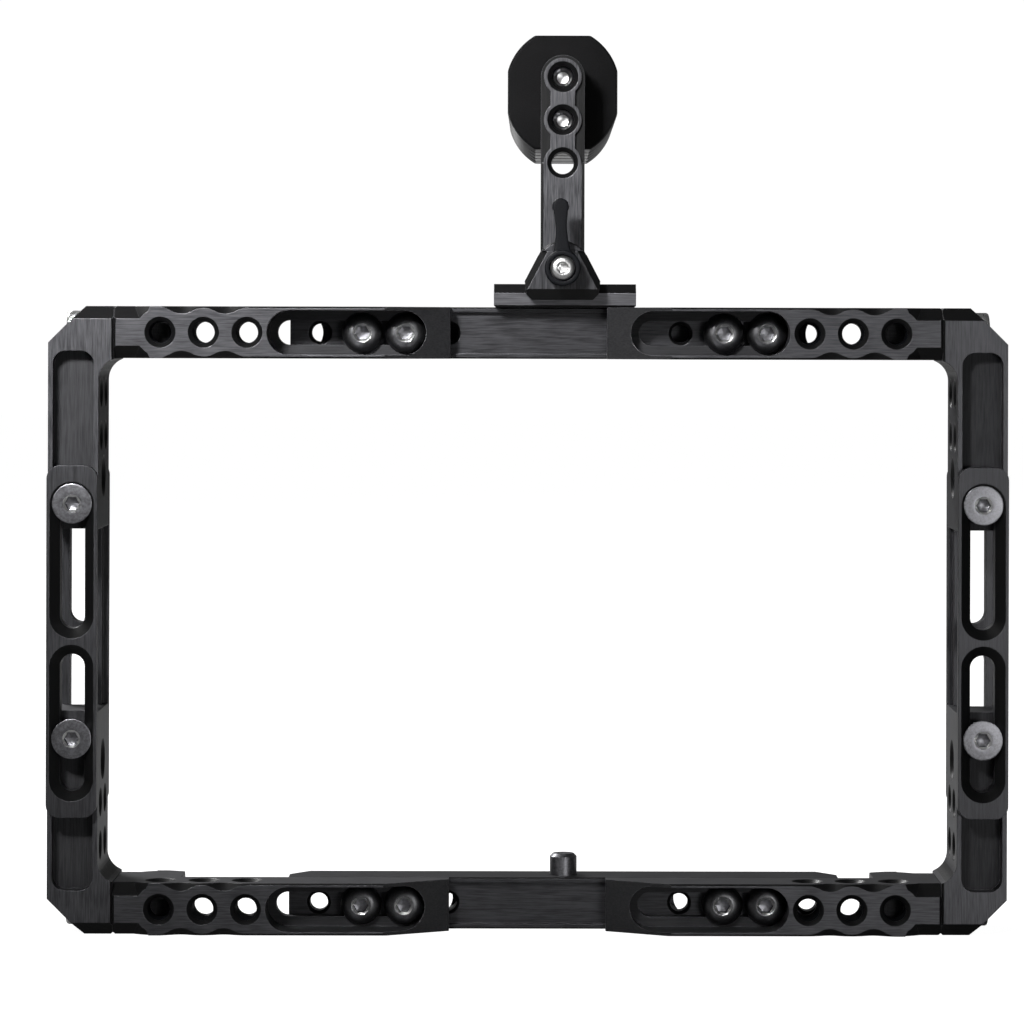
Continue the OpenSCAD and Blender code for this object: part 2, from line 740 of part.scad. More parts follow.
module handle_post() {
    color(ALUMINIUM) translate([handle_x, 0, 0]) difference() {
        union() {
            from_front(post_front, post_d) {
                translate([-post_w / 2, clamp_wide_z]) square([post_w, top_hole_z - clamp_wide_z]);
                translate([0, top_hole_z]) circle(post_w / 2);
            }
            // Foot, with the fixed claw at the rear
            intersection() {
                from_front(post_front, claw_rear - post_front) clamp_outline();
                from_side(-clamp_half, 2 * clamp_half) polygon([
                    [post_front, clamp_low_z], [claw_rear - 1.5, clamp_low_z], [claw_rear, clamp_low_z + 1.5],
                    [claw_rear, clamp_wide_z + 2], [claw_rear - 5, clamp_high_z], [post_front, clamp_high_z]
                ]);
            }
        }
        // The dovetail's room, open to the front where the jaw closes it
        translate([0, 0, top_z]) from_side(-bar, 2 * bar) {
            dovetail_section(slide_fit);
            translate([-bar, -bar]) square([bar, bar + dovetail_h + slide_fit]);
        }
        // Draw bolt and spring
        translate([0, 0, lever_z]) {
            rod_y(post_front - cut, bolt_rear - post_front + 2 * cut, m5_bore / 2);
            rod_y(post_front - cut, spring_room + cut, spring_room_r);
        }
        for (i = [0 : 2]) translate([0, post_front, top_hole_z - i * hole_pitch]) accessory_hole_y(2 * post_d);
        post_edge_cut();
        // Small bevels along the plain part of the post's front edges
        for (x = [-1, 1]) translate([x * post_w / 2, post_front, clamp_high_z])
            linear_extrude(top_hole_z - 2 * hole_pitch - clamp_high_z) bevel_cut(pad_rise, -x, 1);
    }
}

module clamp_jaw() {
    flank = atan((clamp_half - post_w / 2) / (clamp_high_z - clamp_wide_z));
    color(ALUMINIUM_DARK) translate([handle_x, 0, 0]) difference() {
        intersection() {
            from_front(jaw_front, jaw_t) intersection() {
                clamp_outline();
                union() {
                    translate([0, lever_z]) circle(jaw_arc_r);
                    translate([-bar, clamp_low_z - cut]) square([2 * bar, lever_z - clamp_low_z + cut + jaw_arc_r / 2]);
                }
            }
            // Bevel under the front face
            from_side(-bar, 2 * bar) polygon([
                [jaw_front, clamp_low_z + jaw_bevel], [jaw_front + jaw_bevel, clamp_low_z],
                [jaw_back, clamp_low_z], [jaw_back, clamp_high_z + cut], [jaw_front, clamp_high_z + cut]
            ]);
        }
        // Bevels down the flanks
        for (x = [-1, 1]) translate([x * clamp_half, jaw_front, clamp_wide_z]) rotate([0, -x * flank, 0])
            linear_extrude(2 * bar, center = true) bevel_cut(jaw_flank_bevel, -x, 1);
        translate([0, 0, top_z]) from_side(-bar, 2 * bar) dovetail_section(fit);
        translate([0, 0, lever_z]) rod_y(jaw_front - cut, jaw_t + 2 * cut, m5_shank / 2 + slide_fit);
    }
}

// Front outline of the lever: hub, waist and round tip
module lever_outline() {
    circle(hub_r);
    translate([0, lever_l]) circle(tip_r);
    difference() {
        translate([-hub_r, 0]) square([2 * hub_r, lever_l]);
        for (x = [-1, 1]) translate([x * (waist_half + waist_arc_r), waist_at]) circle(waist_arc_r, $fn = 128);
    }
}

// Places what turns with the lever on its axis
module on_lever() { translate([handle_x, 0, lever_z]) rotate([0, lever_tilt, 0]) children(); }

module clamp_lever() {
    arm_front = hub_front + 0.8;
    color(ALUMINIUM_DARK) on_lever() difference() {
        union() {
            rod_y(hub_front, hub_t, hub_r);
            from_front(arm_front, lever_arm_t) lever_outline();
        }
        rod_y(hub_front - cut, hub_recess + cut, m3_head_d / 2 + 0.25);
        rod_y(hub_front, hub_t, 1.6);
        rod_y(bolt_front, hub_t + cut, m5_shank / 2 + fit);
    }
}

module lever_screw() {
    color(STEEL) on_lever() translate([0, hub_front + hub_recess, 0])
        button_screw(m3_head_d, m3_head_h, m3_shank, m3_bore - 2 * fit, lever_screw_l - hub_recess / 2,
                     bolt_front - hub_front - hub_recess, m3_hex);
}

module draw_bolt() {
    color(STEEL) on_lever() difference() {
        union() {
            rod_y(bolt_front, post_front - bolt_front, m5_shank / 2);
            rod_y(post_front, bolt_rear - post_front, m5_bore / 2 - fit);
        }
        rod_y(bolt_front - cut, lever_screw_l + cut, m3_bore / 2);
    }
}

module jaw_spring() {
    wire = 0.6;
    turns = 5;
    pitch = (spring_room - 2 * wire) / (turns - 1);
    mid_r = spring_room_r - wire - 0.2;
    color(STEEL) translate([handle_x, post_front + wire, lever_z]) rotate([-90, 0, 0])
        rotate_extrude() {
            for (i = [0 : turns - 1]) translate([mid_r, i * pitch]) circle(wire, $fn = 16);
            translate([mid_r - wire / 2, 0]) square([wire, (turns - 1) * pitch]);
        }
}

// ---------- grip ----------

// Section of the grip: flats on four sides, and round corners whose centres lie off the axis
module grip_section() {
    for (x = [-1, 1], z = [-1, 1]) intersection() {
        translate([x > 0 ? 0 : -grip_w / 2, z > 0 ? 0 : -grip_h / 2]) square([grip_w / 2, grip_h / 2]);
        translate([-x * 0.6, z * 1.32]) circle(grip_r, $fn = 96);
    }
}

module grip_core() {
    color(ALUMINIUM_DARK) translate([handle_x, 0, grip_z]) difference() {
        union() {
            rod_y(post_rear, core_flange, core_r);
            rod_y(post_rear, grip_l - 3, core_tube_r);
        }
        rod_y(post_rear + core_flange, grip_l, core_bore_r);
        for (i = [0, 1]) translate([0, 0, top_hole_z - grip_z - i * hole_pitch])
            rod_y(post_rear - cut, core_flange + 2 * cut, accessory_d / 2);
    }
}

module grip_sleeve() {
    groove_r = 1.6;
    groove_pitch = 17;
    color(FOAM) translate([handle_x, 0, grip_z]) difference() {
        intersection() {
            from_front(post_rear, grip_l) grip_section();
            // Rounded-off ends
            translate([0, post_rear, 0]) rotate([-90, 0, 0]) rotate_extrude($fn = 96)
                polygon([[0, 0], [14.6, 0], [15.2, 0.6], [15.2, grip_l - 1.6], [13.6, grip_l], [0, grip_l]]);
        }
        rod_y(post_rear - cut, core_flange + cut + fit, core_r + fit);
        rod_y(post_rear, grip_l - 3 + fit, core_tube_r + fit);
        // Finger grooves across the underside
        for (i = [1 : 4]) translate([-grip_w, post_rear + i * groove_pitch + 2, -grip_h / 2 - groove_r / 3])
            rotate([0, 90, 0]) cylinder(h = 2 * grip_w, r = groove_r);
    }
}

module grip_screws() {
    color(STEEL) for (i = [0, 1]) translate([handle_x, post_rear + core_flange - grip_screw_l, top_hole_z - i * hole_pitch])
        difference() {
            rod_y(0, grip_screw_l, accessory_d / 2 - fit);
            socket_y(3.2, 3);
        }
}

// ---------- the parts ----------

rail_bottom();
rail_top();
camera_screw();
at_corner(LEFT, BOTTOM) corner_bracket();  // corner_bottom_left
at_corner(RIGHT, BOTTOM) corner_bracket();  // corner_bottom_right
at_corner(LEFT, TOP) corner_bracket();  // corner_top_left
at_corner(RIGHT, TOP) corner_bracket();  // corner_top_right
at_corner(LEFT, BOTTOM) translate([corner_w, 0, 0]) arm();  // arm_bottom_left
at_corner(RIGHT, BOTTOM) translate([corner_w, 0, 0]) arm();  // arm_bottom_right
at_corner(LEFT, TOP) translate([corner_w, 0, 0]) arm();  // arm_top_left
at_corner(RIGHT, TOP) translate([corner_w, 0, 0]) arm();  // arm_top_right
arm_screws(LEFT, BOTTOM);  // arm_screws_bottom_left
arm_screws(RIGHT, BOTTOM);  // arm_screws_bottom_right
arm_screws(LEFT, TOP);  // arm_screws_top_left
arm_screws(RIGHT, TOP);  // arm_screws_top_right
at_corner(LEFT, BOTTOM) corner_bolt();  // corner_bolt_bottom_left
at_corner(RIGHT, BOTTOM) corner_bolt();  // corner_bolt_bottom_right
at_corner(LEFT, TOP) corner_bolt();  // corner_bolt_top_left
at_corner(RIGHT, TOP) corner_bolt();  // corner_bolt_top_right
at_leg(LEFT, false) translate([0, 0, link_z]) link();  // link_front_left
at_leg(RIGHT, false) translate([0, 0, link_z]) link();  // link_front_right
at_leg(LEFT, true) translate([0, 0, link_z]) link();  // link_rear_left
at_leg(RIGHT, true) translate([0, 0, link_z]) link();  // link_rear_right
link_screws(LEFT, BOTTOM);  // link_screws_bottom_left
link_screws(RIGHT, BOTTOM);  // link_screws_bottom_right
link_screws(LEFT, TOP);  // link_screws_top_left
link_screws(RIGHT, TOP);  // link_screws_top_right
dovetail_rail();
dovetail_screws();
handle_post();
clamp_jaw();
clamp_lever();
lever_screw();
draw_bolt();
jaw_spring();
grip_core();
grip_sleeve();
grip_screws();
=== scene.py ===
"""Dressed model of a modular camera cage with a lever-clamped top handle.

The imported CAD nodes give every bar, plate and block. This script gives them their finishes and
makes what CAD leaves plain: smooth screw heads with their sockets, knurling, threads, the coil
spring, the rounded lever and the moulded grip. Lengths are in millimetres until a mesh is made.
The small offsets in the tables of rings are the chamfers and rounds of the edges.
"""

from __future__ import annotations

import json
import logging
import math
from dataclasses import dataclass, field
from enum import Enum
from typing import Any, Callable, Optional, Sequence

import bmesh
import bpy
import numpy as np
from mathutils import Matrix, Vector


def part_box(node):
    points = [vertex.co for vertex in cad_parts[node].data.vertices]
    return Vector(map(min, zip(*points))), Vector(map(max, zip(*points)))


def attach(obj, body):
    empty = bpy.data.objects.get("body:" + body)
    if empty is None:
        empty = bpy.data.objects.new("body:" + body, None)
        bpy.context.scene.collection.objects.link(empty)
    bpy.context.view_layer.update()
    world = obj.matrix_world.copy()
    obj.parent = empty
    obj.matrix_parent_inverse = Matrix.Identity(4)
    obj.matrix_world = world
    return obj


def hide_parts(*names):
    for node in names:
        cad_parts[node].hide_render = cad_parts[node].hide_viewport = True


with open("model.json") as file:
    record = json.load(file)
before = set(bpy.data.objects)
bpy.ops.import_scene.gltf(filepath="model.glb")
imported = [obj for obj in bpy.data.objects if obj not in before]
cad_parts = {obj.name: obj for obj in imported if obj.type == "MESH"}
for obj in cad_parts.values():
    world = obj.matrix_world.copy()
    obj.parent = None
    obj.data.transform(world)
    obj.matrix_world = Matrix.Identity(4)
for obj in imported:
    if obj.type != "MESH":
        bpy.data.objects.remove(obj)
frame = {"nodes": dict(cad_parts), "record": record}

LOG = logging.getLogger("cage")
MM = 0.001
TURN = 2.0 * math.pi

# Noise patterns: how rough they are, and how many finer layers they have
NOISE_ROUGHNESS = 0.62
MANY_LAYERS = 3.0
FEW_LAYERS = 2.0
# The middle of a noise pattern's range, where most of its values lie
MIDDLE = (0.3, 0.7)

# Screws: from the plain shank to the thread's first row, and the chamfer at the tip
THREAD_GAP = 0.05
TIP_CHAMFER = 0.4
THREAD_ROWS = 6  # rows of points to one pitch

# An inset wider than any section, which brings a ring of points to its centre
TO_CENTRE = 99.0
# Keeps a radius or a half width above nothing
SMALL = 0.001

Tree = bpy.types.NodeTree
Socket = bpy.types.NodeSocket
Colour = tuple[float, float, float, float]
Materials = dict[str, bpy.types.Material]


# ---------- names ----------


class Side(Enum):
    """Which half of the cage, as the viewer sees it."""

    LEFT = -1
    RIGHT = 1


class Level(Enum):
    """Upper or lower half of the cage."""

    BOTTOM = -1
    TOP = 1


class Grain(Enum):
    """Direction that a brush or a cutter has left on a surface."""

    ALONG_X = (0.05, 1.0, 1.0)
    ALONG_Z = (1.0, 1.0, 0.05)
    EVEN = (1.0, 1.0, 1.0)


class Ring(Enum):
    """Outline that one ring of a turned screw follows."""

    ROUND = 0
    HEX = 1


Rings = list[tuple[float, float, Ring]]


@dataclass(frozen=True)
class Corner:
    """One corner of the cage, by its level and side."""

    level: Level
    side: Side

    @property
    def name(self) -> str:
        """Returns the corner's part of a name, such as top_left."""
        return f"{self.level.name}_{self.side.name}".lower()

    @property
    def body(self) -> str:
        """Returns the CAD body that the corner and its arm belong to."""
        return ("upper_" if self.level is Level.TOP else "lower_") + self.side.name.lower()


CORNERS = tuple(Corner(level, side) for level in Level for side in Side)


# ---------- node and colour helpers ----------


def srgb(code: str) -> Colour:
    """Turns a hex colour, as a screen shows it, into linear light.

    Args:
        code: The colour, such as "#3a3a3d".

    Returns:
        Red, green, blue and alpha in linear light.
    """
    parts = [int(code[i : i + 2], 16) / 255.0 for i in (1, 3, 5)]
    lin = [p / 12.92 if p <= 0.04045 else ((p + 0.055) / 1.055) ** 2.4 for p in parts]
    return lin[0], lin[1], lin[2], 1.0


def add_node(tree: Tree, kind: str, settings: Optional[dict[str, Any]] = None,
             inputs: Optional[dict[Any, Any]] = None) -> bpy.types.Node:
    """Adds one node with its settings, and fills or links its sockets.

    Args:
        tree: The node tree of a material or world.
        kind: The node's type name, without its "ShaderNode" prefix.
        settings: Properties of the node itself.
        inputs: Socket name or number to a value, or to the output that feeds it.

    Returns:
        The new node.
    """
    node = tree.nodes.new("ShaderNode" + kind)
    for key, value in (settings or {}).items():
        setattr(node, key, value)
    for key, value in (inputs or {}).items():
        if isinstance(value, bpy.types.NodeSocket):
            tree.links.new(value, node.inputs[key])
        else:
            node.inputs[key].default_value = value
    return node


def math_node(tree: Tree, operation: str, *terms: Any) -> Socket:
    """Combines values with one arithmetic operation and returns the result's socket."""
    return add_node(tree, "Math", {"operation": operation}, dict(enumerate(terms))).outputs[0]


def ramp(tree: Tree, source: Socket, limits: tuple[float, float],
         results: tuple[float, float] = (0.0, 1.0)) -> Socket:
    """Maps a value smoothly from one range to another, held at both ends.

    Args:
        tree: The material's tree.
        source: The value that is mapped.
        limits: Start and end of the source's range.
        results: What the start and the end become.

    Returns:
        The mapped value.
    """
    node = add_node(tree, "MapRange", {"interpolation_type": "SMOOTHSTEP"},
                    {"Value": source, "From Min": limits[0], "From Max": limits[1],
                     "To Min": results[0], "To Max": results[1]})
    return node.outputs["Result"]


def blend(tree: Tree, share: Socket, first: Colour | Socket, second: Colour | Socket) -> Socket:
    """Mixes two colours and returns the result's socket, all second where the share is 1."""
    return add_node(tree, "Mix", {"data_type": "RGBA"},
                    {"Factor": share, 6: first, 7: second}).outputs[2]


def pattern(tree: Tree, grain: Grain, size_mm: float, layers: float) -> Socket:
    """Makes noise of a given size, stretched along the grain.

    Args:
        tree: The material's tree.
        grain: The direction that the noise is stretched in.
        size_mm: Width of one mark across the grain.
        layers: How many finer layers the noise has.

    Returns:
        The noise, about 0 to 1.
    """
    place = add_node(tree, "TexCoord").outputs["Object"]
    across = 1.0 / (size_mm * MM)
    mapped = add_node(tree, "Mapping", None,
                      {"Vector": place, "Scale": tuple(s * across for s in grain.value)})
    noise = add_node(tree, "TexNoise", None,
                     {"Vector": mapped.outputs[0], "Scale": 1.0, "Detail": layers,
                      "Roughness": NOISE_ROUGHNESS})
    return noise.outputs["Fac"]


def emboss(tree: Tree, shader: bpy.types.Node, height: Socket, strength: float, depth_mm: float,
           normal: Optional[Socket] = None) -> None:
    """Gives a shader's surface a relief.

    Args:
        tree: The material's tree.
        shader: The shader node.
        height: The relief's height, 0 to 1.
        strength: How much of the relief is felt.
        depth_mm: The height that 1 stands for.
        normal: The normal under the relief, where it isn't the surface's own.
    """
    inputs = {"Strength": strength, "Distance": depth_mm * MM, "Height": height}
    if normal is not None:
        inputs["Normal"] = normal
    bump = add_node(tree, "Bump", None, inputs)
    tree.links.new(bump.outputs[0], shader.inputs["Normal"])


# ---------- finishes ----------


@dataclass(frozen=True)
class Finish:
    """A material's colours and surface, and how they are built as nodes."""

    name: str
    base: str
    light: str
    rough: float
    metallic: float = 0.0

    def start(self) -> tuple[bpy.types.Material, Tree, bpy.types.Node]:
        """Makes an empty material.

        Returns:
            The material, its tree and its shader node.
        """
        material = bpy.data.materials.new(self.name)
        material.use_nodes = True
        tree = material.node_tree
        tree.nodes.clear()
        shader = add_node(tree, "BsdfPrincipled", None,
                          {"Roughness": self.rough, "Metallic": self.metallic})
        add_node(tree, "OutputMaterial", None, {"Surface": shader.outputs["BSDF"]})
        return material, tree, shader

    def tint(self, tree: Tree, amount: Socket) -> Socket:
        """Returns a mix from the base tone to the light one."""
        return blend(tree, amount, srgb(self.base), srgb(self.light))


@dataclass(frozen=True)
class BrushedAnodised(Finish):
    """Black hard-anodised aluminium, brushed along the bar and left as cut on its bevels.

    The brush leaves fine bright lines that catch the light as a grey sheen on the flat faces.
    The bevels, bores and pockets were cut before anodising and stay smooth and nearly black.
    Edges show a thin paler line, where the coating is thin. The floor of a recess keeps only a
    share of the brushing and is mixed towards the dark cut colour: painted shade in the arms' and
    corners' pockets. The cut-back edges round the post's pads, which were cut and not brushed,
    keep none.
    """

    grain: Grain = Grain.ALONG_X
    cut: str = "#0b0b0c"
    edge: str = "#77777b"
    specular: float = 0.3
    line_mm: float = 0.3  # a real brush line is about 0.05 mm; coarser here, so that it shows
    mottle_mm: float = 9.0
    line_share: float = 0.75
    tone_limits: tuple[float, float] = (0.30, 0.68)
    relief: float = 0.22
    relief_mm: float = 0.03
    round_mm: float = 0.26
    round_samples: int = 6
    flat_limits: tuple[float, float] = (0.86, 0.90)
    worn_limits: tuple[float, float] = (0.995, 0.90)
    worn_most: float = 0.5
    chip_limits: tuple[float, float] = (0.35, 0.7)
    chip_least: float = 0.3
    line_rough: tuple[float, float] = (-0.05, 0.06)
    cut_rough: float = 0.42
    recess_rough: float = 0.3
    recess_facing: float = 0.9
    recess_mm: tuple[float, float] = (0.0, 0.0)
    recess_share: float = 1.0

    def build(self) -> bpy.types.Material:
        """Builds the material.

        Returns:
            The material.
        """
        material, tree, shader = self.start()
        shader.inputs["Specular IOR Level"].default_value = self.specular
        lines = pattern(tree, self.grain, self.line_mm, MANY_LAYERS)
        cloud = pattern(tree, Grain.EVEN, self.mottle_mm, FEW_LAYERS)
        tone = math_node(tree, "ADD", math_node(tree, "MULTIPLY", lines, self.line_share),
                         math_node(tree, "MULTIPLY", cloud, 1.0 - self.line_share))
        metal_tone = self.tint(tree, ramp(tree, tone, self.tone_limits))
        rounded = add_node(tree, "Bevel", {"samples": self.round_samples},
                           {"Radius": self.round_mm * MM}).outputs[0]
        emboss(tree, shader, lines, self.relief, self.relief_mm, rounded)

        # Faces that lie within some 25 degrees of a plane are brushed; the rest are cut bevels
        true = add_node(tree, "NewGeometry").outputs["True Normal"]
        facing = add_node(tree, "VectorMath", {"operation": "ABSOLUTE"}, {0: true})
        axes = add_node(tree, "SeparateXYZ", None, {0: facing.outputs[0]}).outputs
        flat = math_node(tree, "MAXIMUM", math_node(tree, "MAXIMUM", axes[0], axes[1]), axes[2])
        recess = self.recessed(tree, axes[1])
        # Recess floors keep only a share of the brushing, which paints them darker: painted shade
        # in the pockets, and plain cut faces on the post's cut-back edges
        brushed = math_node(tree, "MULTIPLY", ramp(tree, flat, self.flat_limits),
                            ramp(tree, recess, (0.0, 1.0), (1.0, self.recess_share)))
        faced = blend(tree, brushed, srgb(self.cut), metal_tone)

        # A worn edge is where the rounded normal leaves the face's own
        turn = add_node(tree, "VectorMath", {"operation": "DOT_PRODUCT"}, {0: rounded, 1: true})
        worn = ramp(tree, turn.outputs["Value"], self.worn_limits, (0.0, self.worn_most))
        chips = ramp(tree, lines, self.chip_limits, (self.chip_least, 1.0))
        edged = blend(tree, math_node(tree, "MULTIPLY", worn, chips), faced, srgb(self.edge))
        tree.links.new(edged, shader.inputs["Base Color"])

        rough = math_node(tree, "ADD", ramp(tree, lines, MIDDLE, self.line_rough),
                          ramp(tree, brushed, (0.0, 1.0), (self.cut_rough, self.rough)))
        rough = math_node(tree, "ADD", rough,
                          math_node(tree, "MULTIPLY", recess, self.recess_rough))
        tree.links.new(rough, shader.inputs["Roughness"])
        metal = math_node(tree, "MULTIPLY", brushed, self.metallic)
        tree.links.new(metal, shader.inputs["Metallic"])
        return material

    def recessed(self, tree: Tree, facing_y: Socket) -> Socket:
        """Tells which faces are the floor of a recess.

        They look forwards or back and lie between the two planes of the finish.

        Args:
            tree: The material's tree.
            facing_y: How far the face looks along Y, 0 to 1.

        Returns:
            1 on a recess's floor and 0 elsewhere.
        """
        near, far = self.recess_mm
        place = add_node(tree, "TexCoord").outputs["Object"]
        depth = add_node(tree, "SeparateXYZ", None, {0: place}).outputs[1]
        inside = math_node(tree, "MULTIPLY",
                           math_node(tree, "GREATER_THAN", depth, near * MM),
                           math_node(tree, "LESS_THAN", depth, far * MM))
        faces = math_node(tree, "GREATER_THAN", facing_y, self.recess_facing)
        return math_node(tree, "MULTIPLY", inside, faces)


@dataclass(frozen=True)
class TurnedMetal(Finish):
    """Metal turned or polished on a lathe, or blackened afterwards.

    Plain steel shows fine marks and bright, sharp reflections. Black oxide keeps the shape of
    those reflections and loses their brightness. The lever's black satin is made the same way.
    """

    mark_mm: float = 0.25
    relief: float = 0.1
    relief_mm: float = 0.02
    specular: float = 0.5
    smoother: float = 0.04
    rougher: float = 0.06

    def build(self) -> bpy.types.Material:
        """Builds the material.

        Returns:
            The material.
        """
        material, tree, shader = self.start()
        shader.inputs["Specular IOR Level"].default_value = self.specular
        marks = pattern(tree, Grain.EVEN, self.mark_mm, MANY_LAYERS)
        tree.links.new(self.tint(tree, ramp(tree, marks, MIDDLE)), shader.inputs["Base Color"])
        rough = ramp(tree, marks, MIDDLE, (self.rough - self.smoother, self.rough + self.rougher))
        tree.links.new(rough, shader.inputs["Roughness"])
        emboss(tree, shader, marks, self.relief, self.relief_mm)
        return material


@dataclass(frozen=True)
class MouldedRubber(Finish):
    """Moulded black rubber or nylon, matte, with a fine grain and a soft sheen."""

    grain_mm: float = 0.3
    mottle_mm: float = 14.0
    tone_limits: tuple[float, float] = (0.7, 1.3)
    relief: float = 0.3
    relief_mm: float = 0.04
    specular: float = 0.06
    sheen: float = 0.05
    sheen_rough: float = 0.3

    def build(self) -> bpy.types.Material:
        """Builds the material.

        Returns:
            The material.
        """
        material, tree, shader = self.start()
        fine = pattern(tree, Grain.EVEN, self.grain_mm, FEW_LAYERS)
        broad = pattern(tree, Grain.EVEN, self.mottle_mm, FEW_LAYERS)
        tone = ramp(tree, math_node(tree, "ADD", fine, broad), self.tone_limits)
        tree.links.new(self.tint(tree, tone), shader.inputs["Base Color"])
        emboss(tree, shader, fine, self.relief, self.relief_mm)
        shader.inputs["Specular IOR Level"].default_value = self.specular
        shader.inputs["Sheen Weight"].default_value = self.sheen
        shader.inputs["Sheen Roughness"].default_value = self.sheen_rough
        return material


@dataclass(frozen=True)
class Finishes:
    """Every finish on the cage, one field to a material slot of the record, and the dovetail's."""

    anodised_bar: Finish = BrushedAnodised(
        "anodised_bar_brushed_lengthwise", "#2b2b2d", "#414144", 0.40, 0.6)
    # A paler copy of the bars' finish: painted light on the dovetail's sliding faces
    anodised_dovetail: Finish = BrushedAnodised(
        "anodised_dovetail_brushed_lengthwise", "#66666a", "#838387", 0.38, 0.6)
    # The arms and corners mix their pocket floors towards the cut colour: painted shade in the
    # pockets
    anodised_arm: Finish = BrushedAnodised(
        "anodised_arm_brushed_lengthwise", "#37373a", "#545457", 0.40, 0.6,
        recess_mm=(-17.6, 5.6), recess_share=0.4)
    anodised_corner: Finish = BrushedAnodised(
        "anodised_corner_brushed_upright", "#38383b", "#565659", 0.40, 0.6, grain=Grain.ALONG_Z,
        recess_mm=(-17.6, 5.6), recess_share=0.55)
    anodised_link: Finish = BrushedAnodised(
        "anodised_link_brushed_upright", "#333335", "#464649", 0.40, 0.55, grain=Grain.ALONG_Z)
    anodised_post: Finish = BrushedAnodised(
        "anodised_post_brushed_upright", "#343437", "#5c5c5f", 0.40, 0.6, grain=Grain.ALONG_Z,
        recess_mm=(-8.65, 2.5), recess_share=0.0)
    anodised_jaw: Finish = BrushedAnodised(
        "anodised_jaw_brushed_upright", "#2e2e30", "#4a4a4d", 0.40, 0.6, grain=Grain.ALONG_Z)
    lever_finish: Finish = TurnedMetal(
        "anodised_lever_satin", "#0b0c0e", "#121317", 0.5, specular=0.1)
    black_screw: Finish = TurnedMetal("black_oxide_steel", "#58585a", "#6c6c6e", 0.36, 1.0)
    stainless_screw: Finish = TurnedMetal(
        "stainless_steel_turned", "#69696c", "#828286", 0.36, 1.0, mark_mm=0.5)
    stainless_bolt: Finish = TurnedMetal("stainless_steel_knurled", "#dcdcdc", "#f0f0f0", 0.3, 1.0)
    polished_screw: Finish = TurnedMetal(
        "stainless_steel_polished", "#d2d2d2", "#eeeeee", 0.34, 1.0)
    spring_steel: Finish = TurnedMetal("spring_steel_wire", "#8f8f92", "#a9a9ac", 0.3, 1.0)
    core_plastic: Finish = MouldedRubber("nylon_core_moulded", "#151516", "#1d1d1e", 0.5)
    grip_rubber: Finish = MouldedRubber("grip_rubber_moulded", "#0a0a0b", "#101011", 0.6)

    def materials(self) -> Materials:
        """Builds every finish and returns slot name to material."""
        return {slot: getattr(self, slot).build() for slot in self.__dataclass_fields__}


# ---------- surfaces ----------


@dataclass
class Shell:
    """Gathers grids of points, in mm, into one mesh."""

    points: list[np.ndarray] = field(default_factory=list)
    faces: list[np.ndarray] = field(default_factory=list)
    slots: list[np.ndarray] = field(default_factory=list)
    count: int = 0

    def add(self, grid: np.ndarray, row_slots: Optional[np.ndarray] = None) -> "Shell":
        """Adds a grid of points as a skin of four-sided faces; its last column joins its first.

        Args:
            grid: Points, rows by columns by 3.
            row_slots: Material number of each row of faces, where they aren't all 0.

        Returns:
            This shell.
        """
        rows, cols = grid.shape[:2]
        index = np.arange(rows * cols).reshape(rows, cols) + self.count
        right = np.roll(index, -1, axis=1)
        quads = np.stack([index[:-1], right[:-1], right[1:], index[1:]], axis=-1)
        numbers = np.zeros(rows - 1, dtype=int) if row_slots is None else row_slots
        self.points.append(grid.reshape(-1, 3))
        self.faces.append(quads.reshape(-1, 4))
        self.slots.append(np.repeat(numbers, cols))
        self.count += rows * cols
        return self

    def move(self, change: Callable[[np.ndarray], np.ndarray]) -> "Shell":
        """Passes every point through a function of an array and returns this shell."""
        self.points = [change(p) for p in self.points]
        return self

    def piece(self, name: str, body: str, slot: str, materials: Sequence[bpy.types.Material],
              sharp_deg: float = 32.0, replaces: Sequence[str] = ()) -> bpy.types.Object:
        """Makes the mesh object, closes its poles and attaches it to its body's empty.

        Args:
            name: The piece's name.
            body: The CAD body that it moves with.
            slot: The record's material slot; not used.
            materials: The materials, in the order of the face numbers.
            sharp_deg: Edges that turn more than this stay sharp.
            replaces: CAD nodes that the piece stands for.

        Returns:
            The finished object.
        """
        points = np.concatenate(self.points) * MM
        quads = np.concatenate(self.faces)
        mesh = bpy.data.meshes.new(name)
        mesh.from_pydata(points, [], quads)
        mesh.polygons.foreach_set("material_index", np.concatenate(self.slots).astype(np.int32))
        for material in materials:
            mesh.materials.append(material)
        cleaned = bmesh.new()
        cleaned.from_mesh(mesh)
        bmesh.ops.remove_doubles(cleaned, verts=cleaned.verts, dist=1e-7)
        bmesh.ops.dissolve_degenerate(cleaned, edges=cleaned.edges, dist=1e-8)
        bmesh.ops.recalc_face_normals(cleaned, faces=cleaned.faces)
        cleaned.to_mesh(mesh)
        cleaned.free()
        mesh.polygons.foreach_set("use_smooth", np.ones(len(mesh.polygons), dtype=bool))
        mesh.set_sharp_from_angle(angle=math.radians(sharp_deg))
        made = bpy.data.objects.new(name, mesh)
        bpy.context.scene.collection.objects.link(made)
        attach(made, body)
        if replaces:
            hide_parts(*replaces)
        LOG.info("%s: %d faces on %s", name, len(mesh.polygons), body)
        return made


def around(columns: int) -> np.ndarray:
    """Returns the angles of evenly spaced columns round a whole turn."""
    return np.linspace(0.0, TURN, columns, endpoint=False)


def rounds(*pairs: tuple[float, float]) -> Rings:
    """Returns round rings from pairs of radius and place along the axis."""
    return [(size, along, Ring.ROUND) for size, along in pairs]


def hexes(*pairs: tuple[float, float]) -> Rings:
    """Returns hexagonal rings from pairs of width across flats and place along the axis."""
    return [(size, along, Ring.HEX) for size, along in pairs]


def hex_radius(angle: np.ndarray, across: float) -> np.ndarray:
    """Gives the distance from a hexagon's centre to its side.

    The flat that faces an angle is the nearest of six, so the radius is half the width across
    the flats divided by the cosine of the angle to that flat's middle.

    Args:
        angle: Angles about the centre.
        across: The width across the flats.

    Returns:
        The distance at each angle.
    """
    sector = TURN / 6.0
    local = np.mod(angle, sector) - sector / 2.0
    return across / 2.0 / np.cos(local)


